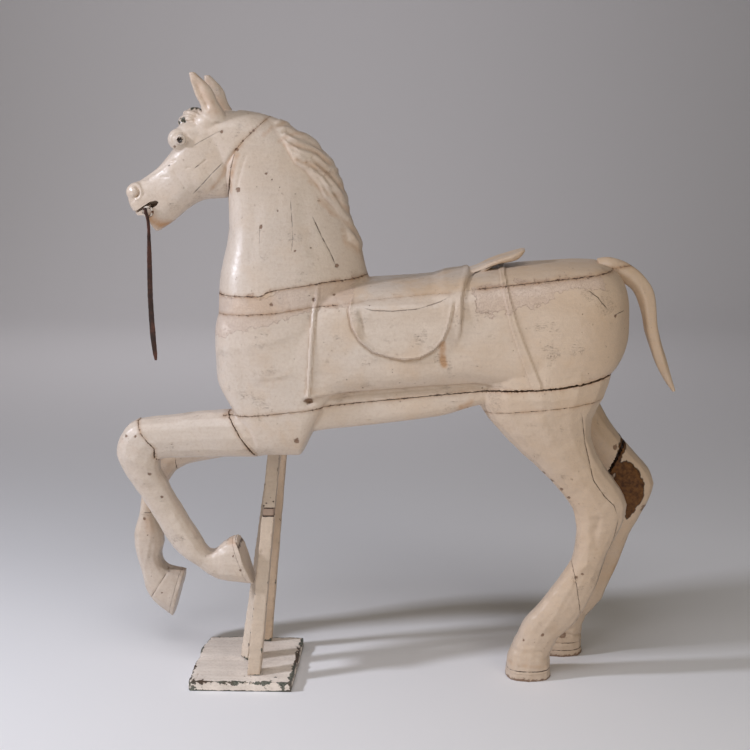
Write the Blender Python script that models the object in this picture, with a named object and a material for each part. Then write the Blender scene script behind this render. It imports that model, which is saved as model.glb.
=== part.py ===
"""A carved wooden carousel horse, glued up from blocks and painted, on its plank stand.

The horse faces -X and its near (left) side is -Y. Sizes are in metres. The forms are lofted,
joined to one carved shape, sawn apart along the glue joints and named block by block.
"""
import math

import bmesh
import bpy
from mathutils import Vector

# ---------------------------------------------------------------- driving sizes
MID_X, MID_Y = 0.003, 0.0065   # places the box of the whole part round the origin
JOINT_GAP = 0.0003             # clear space in a glue joint
BARREL_HALF = 0.150            # half the width of the barrel
KEEL_LOW = 0.525               # the flat underside of the chest
BOARD_SLOPE = 0.1115           # the planks rise towards the rump
BACK_JOINT_Z = 0.883           # back board on body block, above the middle of the horse
LONG_JOINT_Z = 0.664           # body block on keel board
NECK_JOINT_Z, NECK_JOINT_SLOPE = 0.921, 0.136
LEG_JOINT_Z, LEG_JOINT_SLOPE = 0.602, 0.1275
FLAP_PROUD = 0.007             # the saddle flap stands this far out of the flank
STRAP_PROUD = 0.003            # and the girth strap behind it
HIND_SHOE = 0.017              # thickness of the shoe cut off each hind hoof
PLATE_TOP = 0.024
EYE_RADIUS = 0.0115

part = bpy.data.collections.new("carousel_horse")
cutters = bpy.data.collections.new("cutters")


def clear_scene():
    for thing in list(bpy.data.objects):
        bpy.data.objects.remove(thing, do_unlink=True)
    bpy.context.scene.collection.children.link(part)
    bpy.context.scene.collection.children.link(cutters)


def material(name, colour, roughness, metallic=0.0):
    """A plain Principled material."""
    mat = bpy.data.materials.new(name)
    mat.use_nodes = True
    shader = mat.node_tree.nodes["Principled BSDF"]
    shader.inputs["Base Color"].default_value = (*colour, 1.0)
    shader.inputs["Roughness"].default_value = roughness
    shader.inputs["Metallic"].default_value = metallic
    return mat


# ---------------------------------------------------------------- lofts
def ring(row, powers, lean, sides):
    """A superellipse between a front (or top) and a back (or bottom) point of the side view.

    row is x, z of the first point, x, z of the second, then the middle and half width in Y.
    powers are the roundness towards each point; lean makes the first half wider.
    """
    x1, z1, x2, z2, y, half = row
    points = []
    for i in range(sides):
        angle = 2 * math.pi * (i + 0.5) / sides
        c, s = math.cos(angle), math.sin(angle)
        power = powers[0] if c > 0 else powers[1]
        along = math.copysign(abs(c) ** (2 / power), c)
        across = math.copysign(abs(s) ** (2 / power), s) * (1 + lean * along)
        share = (1 - along) / 2
        points.append((x1 + (x2 - x1) * share, y + half * across, z1 + (z2 - z1) * share))
    return points


def loft(name, rows, powers=(2.3, 2.3), sides=10, lean=0.0):
    """A closed form through a ring at each row, as an object outside the part."""
    mesh = bmesh.new()
    rings = [[mesh.verts.new(p) for p in ring(row, powers, lean, sides)] for row in rows]
    for one, two in zip(rings, rings[1:]):
        for i in range(sides):
            k = (i + 1) % sides
            mesh.faces.new((one[i], one[k], two[k], two[i]))
    mesh.faces.new(rings[0])
    mesh.faces.new(rings[-1])
    bmesh.ops.triangulate(mesh, faces=mesh.faces)
    return finish_mesh(name, mesh)


def finish_mesh(name, mesh):
    bmesh.ops.recalc_face_normals(mesh, faces=mesh.faces)
    data = bpy.data.meshes.new(name)
    mesh.to_mesh(data)
    mesh.free()
    thing = bpy.data.objects.new(name, data)
    cutters.objects.link(thing)
    thing.hide_render = True
    thing.display_type = "WIRE"
    return thing


def prism(name, outline, y_low, y_high):
    """An outline of the side view (x, z points) carried through from y_low to y_high."""
    mesh = bmesh.new()
    face = mesh.faces.new([mesh.verts.new((x, y_low, z)) for x, z in outline])
    grown = bmesh.ops.extrude_face_region(mesh, geom=[face])["geom"]
    moved = [v for v in grown if isinstance(v, bmesh.types.BMVert)]
    bmesh.ops.translate(mesh, verts=moved, vec=(0, y_high - y_low, 0))
    return finish_mesh(name, mesh)


def ellipsoid(name, centre, radii, segments=12, rings=8):
    mesh = bmesh.new()
    bmesh.ops.create_uvsphere(mesh, u_segments=segments, v_segments=rings, radius=1.0)
    bmesh.ops.scale(mesh, verts=mesh.verts, vec=radii)
    bmesh.ops.translate(mesh, verts=mesh.verts, vec=centre)
    return finish_mesh(name, mesh)


# ---------------------------------------------------------------- Booleans
def apply_boolean(thing, other, operation, keep_other=False):
    """Joins, cuts or intersects thing with other, and applies the result."""
    step = thing.modifiers.new("boolean", "BOOLEAN")
    step.operation = operation
    step.solver = "EXACT"
    step.object = other
    graph = bpy.context.evaluated_depsgraph_get()
    data = bpy.data.meshes.new_from_object(thing.evaluated_get(graph))
    thing.modifiers.clear()
    thing.data = data
    if not keep_other:
        bpy.data.objects.remove(other, do_unlink=True)
    return thing


def union(name, things):
    whole = things[0]
    for other in things[1:]:
        apply_boolean(whole, other, "UNION")
    whole.name = name
    return whole


def band(path, width):
    """The outline of a strap of that width along a path of the side view."""
    left, right = [], []
    for i, (x, z) in enumerate(path):
        x0, z0 = path[max(i - 1, 0)]
        x1, z1 = path[min(i + 1, len(path) - 1)]
        long = math.hypot(x1 - x0, z1 - z0)
        nx, nz = -(z1 - z0) / long * width / 2, (x1 - x0) / long * width / 2
        left.append((x + nx, z + nz))
        right.append((x - nx, z - nz))
    return left + right[::-1]


def saw(whole, path, y_low=-0.3, y_high=0.3, gap=JOINT_GAP):
    """Saws a shape along a path of the side view, leaving the gap of a glue joint."""
    return apply_boolean(whole, prism("kerf", band(path, gap), y_low, y_high), "DIFFERENCE")


def islands(whole, labels):
    """Splits a shape into its separate solids; each takes the name of its nearest label."""
    mesh = bmesh.new()
    mesh.from_mesh(whole.data)
    bmesh.ops.remove_doubles(mesh, verts=mesh.verts, dist=0.00002)
    left, pieces = set(mesh.verts), []
    while left:
        seed = left.pop()
        found, todo = {seed}, [seed]
        while todo:
            for edge in todo.pop().link_edges:
                for v in edge.verts:
                    if v not in found:
                        found.add(v)
                        todo.append(v)
        left -= found
        pieces.append(found)
    named = {}
    for found in pieces:
        low = [min(v.co[k] for v in found) for k in range(3)]
        high = [max(v.co[k] for v in found) for k in range(3)]
        middle = Vector([(a + b) / 2 for a, b in zip(low, high)])
        size = sum(b - a for a, b in zip(low, high))
        label = min(labels, key=lambda n: (Vector(labels[n]) - middle).length)
        if label in named and named[label][0] > size:
            continue
        named[label] = (size, found)
    out = {}
    for label, (size, found) in named.items():
        one = bmesh.new()
        copies = {v: one.verts.new(v.co) for v in found}
        for face in {f for v in found for f in v.link_faces}:
            one.faces.new([copies[v] for v in face.verts])
        bmesh.ops.dissolve_limit(one, angle_limit=math.radians(3.0), verts=one.verts,
                                 edges=one.edges)
        out[label] = finish_mesh(label, one)
    mesh.free()
    bpy.data.objects.remove(whole, do_unlink=True)
    return out


# ---------------------------------------------------------------- the carved forms
def barrel(proud=0.0):
    """Chest, flanks and rump. Each row is an upright slice: x, top, bottom, half width."""
    slices = [
        (-0.404, 0.815, 0.705, 0.070), (-0.397, 0.840, 0.682, 0.098),
        (-0.378, 0.862, 0.653, 0.122), (-0.340, 0.878, 0.593, 0.138),
        (-0.300, 0.886, KEEL_LOW, 0.146), (-0.212, 0.896, KEEL_LOW, BARREL_HALF),
        (-0.190, 0.898, 0.556, BARREL_HALF), (-0.165, 0.900, 0.595, BARREL_HALF),
        (-0.130, 0.904, 0.620, BARREL_HALF), (-0.050, 0.912, 0.639, BARREL_HALF),
        (0.060, 0.919, 0.651, BARREL_HALF), (0.150, 0.929, 0.661, BARREL_HALF),
        (0.240, 0.942, 0.669, BARREL_HALF), (0.330, 0.950, 0.675, 0.152),
        (0.400, 0.952, 0.679, 0.149), (0.445, 0.949, 0.683, 0.139),
        (0.474, 0.937, 0.689, 0.120), (0.494, 0.910, 0.702, 0.095),
        (0.506, 0.872, 0.730, 0.062), (0.511, 0.835, 0.765, 0.030),
    ]
    rows = [(x, top + proud, x, low, 0.0, half + proud) for x, top, low, half in slices]
    return loft("barrel", rows, powers=(3.4, 5.0), sides=16)


def belly():
    """The narrower strip of the keel board that shows under the barrel."""
    slices = [(-0.24, 0.640, 0.560), (-0.17, 0.660, 0.584), (-0.05, 0.670, 0.598),
              (0.10, 0.690, 0.620), (0.16, 0.695, 0.638), (0.22, 0.700, 0.654),
              (0.30, 0.710, 0.668)]
    rows = [(x, top, x, low, 0.0, 0.114) for x, top, low in slices]
    return loft("belly", rows, powers=(6.0, 6.0), sides=12)


def hips():
    """The hip part of the keel board, between the two thighs."""
    slices = [(0.215, 0.646), (0.33, 0.656), (0.41, 0.666), (0.445, 0.676)]
    rows = [(x, 0.74, x, low, 0.0, 0.118) for x, low in slices]
    return loft("hips", rows, powers=(5.0, 5.0), sides=12)


def neck_form():
    """Each row runs from the throat side to the crest, the last ones inside the head."""
    return loft("neck", [
        (-0.398, 0.690, 0.060, 0.760, 0.0, 0.146), (-0.402, 0.770, 0.000, 0.840, 0.0, 0.145),
        (-0.402, 0.830, -0.048, 0.890, 0.0, 0.138), (-0.400, 0.874, -0.064, 0.918, 0.0, 0.127),
        (-0.394, 0.912, -0.072, 0.948, 0.0, 0.116), (-0.383, 0.952, -0.083, 0.982, 0.0, 0.105),
        (-0.371, 0.992, -0.096, 1.018, 0.0, 0.095), (-0.367, 1.030, -0.108, 1.055, 0.0, 0.087),
        (-0.367, 1.070, -0.122, 1.100, 0.0, 0.080), (-0.371, 1.110, -0.140, 1.146, 0.0, 0.074),
        (-0.381, 1.148, -0.169, 1.188, 0.0, 0.069), (-0.397, 1.182, -0.204, 1.217, 0.0, 0.064),
        (-0.414, 1.202, -0.235, 1.240, 0.0, 0.060), (-0.426, 1.212, -0.296, 1.266, 0.0, 0.055),
        (-0.432, 1.216, -0.340, 1.273, 0.0, 0.050),
    ], powers=(2.8, 2.0), lean=0.18, sides=16)


def head_form():
    """Each row runs from the brow and nose line to the jaw line."""
    return loft("head", [
        (-0.330, 1.262, -0.345, 1.130, 0.0, 0.046), (-0.360, 1.272, -0.368, 1.084, 0.0, 0.054),
        (-0.398, 1.271, -0.392, 1.077, 0.0, 0.058), (-0.430, 1.260, -0.413, 1.073, 0.0, 0.059),
        (-0.454, 1.236, -0.433, 1.064, 0.0, 0.057), (-0.474, 1.206, -0.454, 1.052, 0.0, 0.053),
        (-0.494, 1.179, -0.474, 1.040, 0.0, 0.048), (-0.519, 1.151, -0.494, 1.029, 0.0, 0.043),
        (-0.545, 1.132, -0.512, 1.017, 0.0, 0.040), (-0.566, 1.118, -0.526, 1.009, 0.0, 0.039),
        (-0.581, 1.102, -0.541, 1.015, 0.0, 0.036), (-0.588, 1.084, -0.557, 1.034, 0.0, 0.030),
        (-0.584, 1.066, -0.569, 1.046, 0.0, 0.020),
    ], powers=(2.2, 2.6), sides=12)


def ear(side, forward):
    """A leaf-shaped ear, forward is how far its tip and root lie towards the nose."""
    rows = [(-0.416, 1.252, -0.374, 1.256, 0.016), (-0.418, 1.276, -0.376, 1.278, 0.017),
            (-0.425, 1.298, -0.384, 1.300, 0.016), (-0.435, 1.326, -0.405, 1.326, 0.013),
            (-0.441, 1.352, -0.435, 1.353, 0.004)]
    return loft("ear", [(x1 - forward, z1, x2 - forward, z2, side * 0.034, half)
                        for x1, z1, x2, z2, half in rows], powers=(2.0, 2.0), sides=8)


def mane_lock(side, path, width):
    """A carved lock along a path of x, z and distance from the middle, tapered to both ends."""
    rows = []
    for i, (x, z, y) in enumerate(path):
        x0, z0, _ = path[max(i - 1, 0)]
        x1, z1, _ = path[min(i + 1, len(path) - 1)]
        long = math.hypot(x1 - x0, z1 - z0)
        nx, nz = -(z1 - z0) / long, (x1 - x0) / long
        half = width / 2 * (0.22 + 0.80 * math.sin(math.pi * (i + 0.35) / (len(path) - 0.3)))
        rows.append((x + nx * half, z + nz * half, x - nx * half, z - nz * half,
                     side * y, 0.45 * half + 0.004))
    return loft("lock", rows, powers=(2.0, 2.0), sides=5)


def mane(side):
    """Wavy locks, each running down and back over the crest from the one before."""
    crest = [(-0.252, 1.250), (-0.196, 1.216), (-0.152, 1.165), (-0.128, 1.108),
             (-0.108, 1.046)]
    locks = []
    for i, (x, z) in enumerate(crest):
        turn = math.radians(-14 - 11.0 * i)          # the way the lock runs, below level
        long = 0.118 - 0.008 * i
        dx, dz = math.cos(turn), math.sin(turn)
        path = []
        for k in range(4):
            t = k / 3
            wave = 0.010 * math.sin(2 * math.pi * t * 0.9)
            back = (1 - t) * long
            path.append((x - back * dx - wave * dz, z - 0.006 - back * dz + wave * dx,
                         0.018 + 0.040 * (1 - t) ** 0.8))
        locks.append(mane_lock(side, path, 0.044))
    return locks


def near_fore_form():
    """The raised near foreleg from the shoulder to the sole, top or front point first."""
    return loft("near_fore", [
        (-0.318, 0.640, -0.235, 0.535, -0.086, 0.052), (-0.380, 0.634, -0.308, 0.521, -0.088, 0.052),
        (-0.430, 0.624, -0.375, 0.520, -0.090, 0.047), (-0.480, 0.616, -0.440, 0.519, -0.090, 0.044),
        (-0.530, 0.611, -0.495, 0.518, -0.090, 0.043), (-0.570, 0.606, -0.520, 0.512, -0.090, 0.044),
        (-0.598, 0.587, -0.524, 0.500, -0.090, 0.044), (-0.614, 0.557, -0.521, 0.488, -0.090, 0.043),
        (-0.619, 0.528, -0.515, 0.476, -0.089, 0.041), (-0.608, 0.494, -0.508, 0.463, -0.088, 0.038),
        (-0.590, 0.463, -0.500, 0.444, -0.087, 0.035), (-0.570, 0.430, -0.489, 0.420, -0.086, 0.033),
        (-0.547, 0.391, -0.474, 0.393, -0.085, 0.032), (-0.523, 0.345, -0.452, 0.356, -0.085, 0.032),
        (-0.502, 0.312, -0.433, 0.325, -0.085, 0.034), (-0.474, 0.287, -0.419, 0.301, -0.085, 0.034),
        (-0.441, 0.262, -0.408, 0.301, -0.085, 0.032), (-0.410, 0.239, -0.397, 0.314, -0.085, 0.034),
        (-0.385, 0.230, -0.379, 0.329, -0.085, 0.038), (-0.352, 0.227, -0.366, 0.335, -0.085, 0.041),
        (-0.318, 0.223, -0.356, 0.338, -0.085, 0.043),
    ])


def far_fore_form():
    return loft("far_fore", [
        (-0.318, 0.632, -0.250, 0.530, 0.086, 0.052), (-0.385, 0.618, -0.352, 0.490, 0.088, 0.052),
        (-0.440, 0.602, -0.420, 0.470, 0.089, 0.047), (-0.492, 0.588, -0.476, 0.459, 0.088, 0.043),
        (-0.545, 0.566, -0.512, 0.444, 0.087, 0.043), (-0.580, 0.536, -0.530, 0.428, 0.086, 0.042),
        (-0.598, 0.497, -0.541, 0.410, 0.085, 0.040), (-0.604, 0.455, -0.551, 0.394, 0.084, 0.037),
        (-0.605, 0.412, -0.563, 0.374, 0.083, 0.034), (-0.606, 0.380, -0.571, 0.354, 0.082, 0.032),
        (-0.611, 0.348, -0.575, 0.335, 0.082, 0.032), (-0.621, 0.312, -0.566, 0.310, 0.082, 0.033),
        (-0.629, 0.284, -0.558, 0.286, 0.082, 0.034), (-0.629, 0.256, -0.557, 0.262, 0.082, 0.034),
        (-0.622, 0.222, -0.565, 0.236, 0.082, 0.033), (-0.613, 0.190, -0.559, 0.212, 0.082, 0.034),
        (-0.608, 0.160, -0.545, 0.202, 0.082, 0.037), (-0.598, 0.130, -0.530, 0.200, 0.082, 0.040),
        (-0.574, 0.104, -0.518, 0.198, 0.082, 0.042), (-0.542, 0.079, -0.508, 0.197, 0.082, 0.043),
    ])


HIP_Z = 0.745
HIND_ROWS = [
    (0.196, 0.745, 0.470, 0.765, 0.078, 0.072), (0.172, 0.690, 0.474, 0.715, 0.080, 0.074),
    (0.171, 0.662, 0.463, 0.672, 0.082, 0.075), (0.184, 0.634, 0.447, 0.645, 0.083, 0.074),
    (0.210, 0.600, 0.434, 0.618, 0.084, 0.070), (0.244, 0.564, 0.430, 0.588, 0.085, 0.065),
    (0.280, 0.530, 0.437, 0.553, 0.085, 0.060), (0.318, 0.493, 0.454, 0.517, 0.084, 0.055),
    (0.352, 0.458, 0.477, 0.481, 0.083, 0.050), (0.378, 0.424, 0.500, 0.449, 0.082, 0.046),
    (0.394, 0.395, 0.513, 0.417, 0.081, 0.043), (0.399, 0.362, 0.509, 0.382, 0.080, 0.040),
    (0.399, 0.328, 0.494, 0.347, 0.079, 0.037), (0.396, 0.298, 0.476, 0.309, 0.078, 0.035),
    (0.386, 0.270, 0.464, 0.270, 0.077, 0.034), (0.371, 0.246, 0.454, 0.232, 0.076, 0.033),
    (0.353, 0.220, 0.441, 0.199, 0.074, 0.033), (0.335, 0.193, 0.424, 0.163, 0.072, 0.034),
    (0.317, 0.168, 0.408, 0.134, 0.070, 0.035), (0.299, 0.148, 0.384, 0.110, 0.068, 0.034),
    (0.284, 0.126, 0.366, 0.090, 0.067, 0.033), (0.275, 0.103, 0.356, 0.070, 0.066, 0.034),
    (0.265, 0.082, 0.352, 0.056, 0.065, 0.038), (0.256, 0.060, 0.352, 0.044, 0.065, 0.041),
    (0.249, 0.030, 0.353, 0.028, 0.065, 0.044), (0.246, 0.000, 0.353, 0.000, 0.065, 0.045),
]
FAR_HIND_BACK = [0.0, 0.0, 0.0, 0.010, 0.028, 0.046, 0.060, 0.071, 0.079, 0.083, 0.081, 0.077,
                 0.074, 0.072, 0.068, 0.066, 0.065, 0.068, 0.072, 0.076, 0.078, 0.080, 0.082,
                 0.083, 0.083, 0.083]


def near_hind_form():
    """The near hind leg from the hip to the sole, front point first."""
    rows = [(a, b, c, d, 0.008 * (1 - b / HIP_Z) - y, half)
            for a, b, c, d, y, half in HIND_ROWS]
    return loft("near_hind", rows)


def far_hind_form():
    """The far hind leg is the same carving, set further back from the hip down."""
    rows = [(a + back, b, c + back, d, y + 0.022 * (1 - b / HIP_Z), half)
            for (a, b, c, d, y, half), back in zip(HIND_ROWS, FAR_HIND_BACK)]
    return loft("far_hind", rows)


def tail_form():
    return loft("tail", [
        (0.440, 0.952, 0.452, 0.898, 0.0, 0.022), (0.462, 0.955, 0.470, 0.902, 0.0, 0.023),
        (0.490, 0.949, 0.484, 0.903, 0.0, 0.022), (0.518, 0.935, 0.502, 0.896, 0.0, 0.021),
        (0.545, 0.912, 0.519, 0.882, 0.0, 0.020), (0.565, 0.882, 0.532, 0.858, 0.0, 0.019),
        (0.573, 0.846, 0.541, 0.828, 0.0, 0.018), (0.577, 0.805, 0.548, 0.795, 0.0, 0.017),
        (0.586, 0.768, 0.560, 0.755, 0.0, 0.015), (0.599, 0.728, 0.576, 0.714, 0.0, 0.013),
        (0.611, 0.690, 0.594, 0.682, 0.0, 0.009), (0.622, 0.656, 0.615, 0.653, 0.0, 0.004),
    ], powers=(2.2, 2.2), sides=8)


# ---------------------------------------------------------------- carving on the flanks
def flap_outline():
    """The saddle flap: a straight top and a round lower edge."""
    middle_x, top_z, half, drop = 0.015, 0.872, 0.110, 0.116
    points = []
    for i in range(11):
        c, s = math.cos(math.pi * i / 10), math.sin(math.pi * i / 10)
        points.append((middle_x + half * math.copysign(abs(c) ** 0.84, c),
                       top_z - drop * s ** 0.9))
    return points


SKIRT_OUTLINE = [(0.02, 0.92), (0.02, 0.86), (0.070, 0.772), (0.117, 0.777), (0.138, 0.797),
                 (0.145, 0.836), (0.147, 0.877), (0.160, 0.908), (0.186, 0.932), (0.228, 0.952),
                 (0.228, 0.99), (0.02, 0.99)]
RIDGE_PATH = [(-0.168, 0.925), (-0.172, 0.840), (-0.184, 0.668)]
REAR_STRAP_PATH = [(0.222, 0.985), (0.238, 0.912), (0.262, 0.822), (0.304, 0.676)]


def relief(outline, proud, y_low=-0.3, y_high=0.3):
    """A patch of the barrel that stands proud of it, cut to an outline of the side view."""
    return apply_boolean(barrel(proud), prism("patch", outline, y_low, y_high), "INTERSECT")


def carved_horse():
    """The whole carved shape, before it is sawn along its joints."""
    forms = [barrel(), belly(), hips(), near_hind_form(), far_hind_form(), near_fore_form(),
             far_fore_form(), neck_form(), head_form(), ear(-1, 0.0), ear(1, -0.020)]
    forms.append(ellipsoid("forelock", (-0.442, 0.0, 1.258), (0.030, 0.036, 0.023), 8, 6))
    forms += [ellipsoid("socket", (-0.466, side * 0.044, 1.211), (0.027, 0.026, 0.025), 10, 6)
              for side in (-1, 1)]
    forms += [ellipsoid("nostril", (-0.577, side * 0.033, 1.094), (0.012, 0.010, 0.012), 6, 4)
              for side in (-1, 1)]
    forms += mane(-1) + mane(1)
    forms += [relief(SKIRT_OUTLINE, 0.004), relief(flap_outline(), FLAP_PROUD),
              relief(band(RIDGE_PATH, 0.009), 0.006),
              relief(band(REAR_STRAP_PATH, 0.015), STRAP_PROUD)]
    return union("carved_horse", forms)


# ---------------------------------------------------------------- the glue joints
def slanted(z, slope, start, end):
    return [(start, z + slope * start), (end, z + slope * end)]


# name of the joint, its path in the side view, and how far it reaches across
JOINTS = [
    ("neck on back board", slanted(NECK_JOINT_Z, NECK_JOINT_SLOPE, -0.45, -0.03), -0.3, 0.3),
    ("back board", slanted(BACK_JOINT_Z, BOARD_SLOPE, -0.45, 0.56), -0.3, 0.3),
    ("keel board", slanted(LONG_JOINT_Z, BOARD_SLOPE, -0.366, 0.56), -0.3, 0.3),
    ("hind legs", slanted(LEG_JOINT_Z, LEG_JOINT_SLOPE, 0.15, 0.53), -0.3, 0.3),
    ("head", [(-0.250, 1.320), (-0.272, 1.256), (-0.342, 1.188), (-0.366, 1.090), (-0.368, 1.030)],
     -0.3, 0.3),
    ("near shoulder", [(-0.402, 0.680), (-0.290, 0.507)], -0.2, -0.020),
    ("far shoulder", [(-0.402, 0.680), (-0.270, 0.476)], 0.020, 0.2),
    ("near knee", [(-0.577, 0.632), (-0.552, 0.577), (-0.527, 0.548), (-0.526, 0.520),
                   (-0.506, 0.496)], -0.2, -0.020),
    ("far knee", [(-0.516, 0.620), (-0.519, 0.410)], 0.020, 0.2),
    ("far shank", [(-0.650, 0.344), (-0.540, 0.333)], 0.020, 0.2),
    ("near hind foot", [(0.360, 0.330), (0.392, 0.284), (0.403, 0.235), (0.416, 0.150),
                        (0.428, 0.090)], -0.2, -0.005),
    ("far hock", [(0.560, 0.605), (0.521, 0.527), (0.483, 0.453), (0.425, 0.340)], 0.005, 0.2),
    ("hind shoes", [(0.200, HIND_SHOE), (0.480, HIND_SHOE)], -0.3, 0.3),
    ("near fore shoe", [(-0.322, 0.200), (-0.373, 0.354)], -0.2, -0.020),
    ("far fore shoe", [(-0.557, 0.062), (-0.512, 0.219)], 0.020, 0.2),
]
# the middle of each block's box
BLOCKS = {
    "head": (-0.460, 0.0, 1.170), "neck": (-0.230, 0.0, 1.080),
    "back_board": (0.040, 0.0, 0.895), "body_block": (0.050, 0.0, 0.780),
    "keel_board": (0.040, 0.0, 0.620), "near_forearm": (-0.440, -0.09, 0.570),
    "near_fore_shank": (-0.490, -0.09, 0.415), "far_forearm": (-0.410, 0.09, 0.550),
    "far_knee": (-0.562, 0.085, 0.440), "far_fore_shank": (-0.580, 0.083, 0.220),
    "near_hind_leg": (0.350, -0.085, 0.390), "near_hind_foot": (0.330, -0.065, 0.150),
    "far_hind_thigh": (0.370, 0.090, 0.530), "far_hind_shank": (0.460, 0.085, 0.270),
    "near_hind_shoe": (0.300, -0.060, 0.008), "far_hind_shoe": (0.383, 0.085, 0.008),
    "near_fore_shoe": (-0.345, -0.085, 0.280), "far_fore_shoe": (-0.530, 0.083, 0.140),
}


def sawn_blocks(paint):
    """The carved horse, sawn into its glued blocks."""
    whole = carved_horse()
    for side in (-1, 1):
        apply_boolean(whole, ellipsoid("eye_seat", (-0.461, side * 0.0615, 1.211),
                                       (EYE_RADIUS + JOINT_GAP,) * 3, 10, 8), "DIFFERENCE")
    apply_boolean(whole, prism("mouth", MOUTH_OUTLINE, -0.1, 0.1), "DIFFERENCE")
    for _, path, y_low, y_high in JOINTS:
        saw(whole, path, y_low, y_high)
    blocks = islands(whole, BLOCKS)
    for block in blocks.values():
        keep(block, paint)
    return blocks


MOUTH_OUTLINE = [(-0.515, 1.080), (-0.526, 1.083), (-0.556, 1.067), (-0.602, 1.044),
                 (-0.592, 1.014), (-0.552, 1.035), (-0.537, 1.055), (-0.518, 1.073)]


def keep(thing, paint):
    """Moves a finished solid from the cutters to the part and paints it."""
    cutters.objects.unlink(thing)
    part.objects.link(thing)
    thing.hide_render = False
    thing.display_type = "TEXTURED"
    thing.data.materials.clear()
    thing.data.materials.append(paint)
    thing.parent = root
    return thing


# ---------------------------------------------------------------- loose pieces
def saddle_cantle(paint):
    """A small slanting board on the back, let down onto its curve."""
    rows = [(x, top, x, low, 0.0, half) for x, top, low, half in [
        (0.150, 0.931, 0.905, 0.036), (0.180, 0.940, 0.908, 0.041), (0.205, 0.950, 0.926, 0.044),
        (0.228, 0.959, 0.942, 0.045), (0.249, 0.966, 0.946, 0.042), (0.266, 0.972, 0.952, 0.036),
        (0.280, 0.975, 0.966, 0.022)]]
    board = loft("saddle_cantle", rows, powers=(3.5, 4.5), sides=12)
    apply_boolean(board, barrel(STRAP_PROUD + 0.001 + JOINT_GAP), "DIFFERENCE")
    return keep(board, paint)


def tail(paint):
    carved = tail_form()
    apply_boolean(carved, barrel(JOINT_GAP), "DIFFERENCE")
    carved.name = "tail"
    return keep(carved, paint)


def eyes(glass):
    for name, side in (("near_eye", -1), ("far_eye", 1)):
        keep(ellipsoid(name, (-0.461, side * 0.0615, 1.211), (EYE_RADIUS,) * 3, 10, 8), glass)


def tube_mesh(name, points, radius, resolution=2, cyclic=False):
    """A round bar along points, as a closed mesh."""
    curve = bpy.data.curves.new(name, "CURVE")
    curve.dimensions = "3D"
    curve.bevel_depth = radius
    curve.bevel_resolution = resolution
    curve.use_fill_caps = not cyclic
    spline = curve.splines.new("POLY")
    spline.points.add(len(points) - 1)
    for point, place in zip(spline.points, points):
        point.co = (*place, 1.0)
    spline.use_cyclic_u = cyclic
    bar = bpy.data.objects.new(name, curve)
    cutters.objects.link(bar)
    graph = bpy.context.evaluated_depsgraph_get()
    data = bpy.data.meshes.new_from_object(bar.evaluated_get(graph))
    bpy.data.objects.remove(bar, do_unlink=True)
    mesh = bmesh.new()
    mesh.from_mesh(data)
    bmesh.ops.remove_doubles(mesh, verts=mesh.verts, dist=0.00001)
    return finish_mesh(name, mesh)


BIT_CENTRE = Vector((-0.538, 0.0, 1.066))
BIT_RING, BIT_WIRE, BIT_HALF = 0.0105, 0.0022, 0.0465


def bit(iron):
    """A bar through the mouth with a ring at each end."""
    pieces = [tube_mesh("bit", [BIT_CENTRE + Vector((0, y, 0)) for y in (-BIT_HALF, BIT_HALF)],
                        0.003)]
    for side in (-1, 1):
        middle = BIT_CENTRE + Vector((0, side * BIT_HALF, -BIT_RING))
        points = [middle + BIT_RING * Vector((math.sin(a), 0, math.cos(a)))
                  for a in (2 * math.pi * i / 12 for i in range(12))]
        pieces.append(tube_mesh("ring", points, BIT_WIRE, 1, cyclic=True))
    return keep(union("bit", pieces), iron)


REIN_ROUTE = [(-0.5375, 1.0395), (-0.5380, 0.990), (-0.5390, 0.930), (-0.5400, 0.870),
              (-0.5390, 0.820), (-0.5370, 0.775), (-0.5330, 0.728)]
REIN_WIDTH = 0.012


def rein(leather):
    """The torn strap, hanging straight down from the near ring."""
    points = []
    for (x0, z0), (x1, z1) in zip(REIN_ROUTE, REIN_ROUTE[1:]):
        points += [(x0 + (x1 - x0) * t, -BIT_HALF, z0 + (z1 - z0) * t) for t in (0.0, 0.5)]
    points.append((REIN_ROUTE[-1][0], -BIT_HALF, REIN_ROUTE[-1][1]))
    return keep(tube_mesh("rein", points, REIN_WIDTH / 2 - 0.0005), leather)


# ---------------------------------------------------------------- the stand
PLATE_X, PLATE_Y = (-0.464, -0.231), (-0.173, 0.087)


def stand_plate(wood):
    """A thick board with one corner broken off."""
    (x0, x1), (y0, y1) = PLATE_X, PLATE_Y
    outline = [(x0, y0), (x1, y0), (x1, y1), (x0 + 0.010, y1), (x0, y1 - 0.050)]
    mesh = bmesh.new()
    face = mesh.faces.new([mesh.verts.new((x, y, 0.0)) for x, y in outline])
    grown = bmesh.ops.extrude_face_region(mesh, geom=[face])["geom"]
    moved = [v for v in grown if isinstance(v, bmesh.types.BMVert)]
    bmesh.ops.translate(mesh, verts=moved, vec=(0, 0, PLATE_TOP))
    rim = [e for e in mesh.edges if all(v.co.z > 0 for v in e.verts)]
    bmesh.ops.bevel(mesh, geom=rim, offset=0.002, segments=2, affect="EDGES")
    return keep(finish_mesh("stand_plate", mesh), wood)


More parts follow.
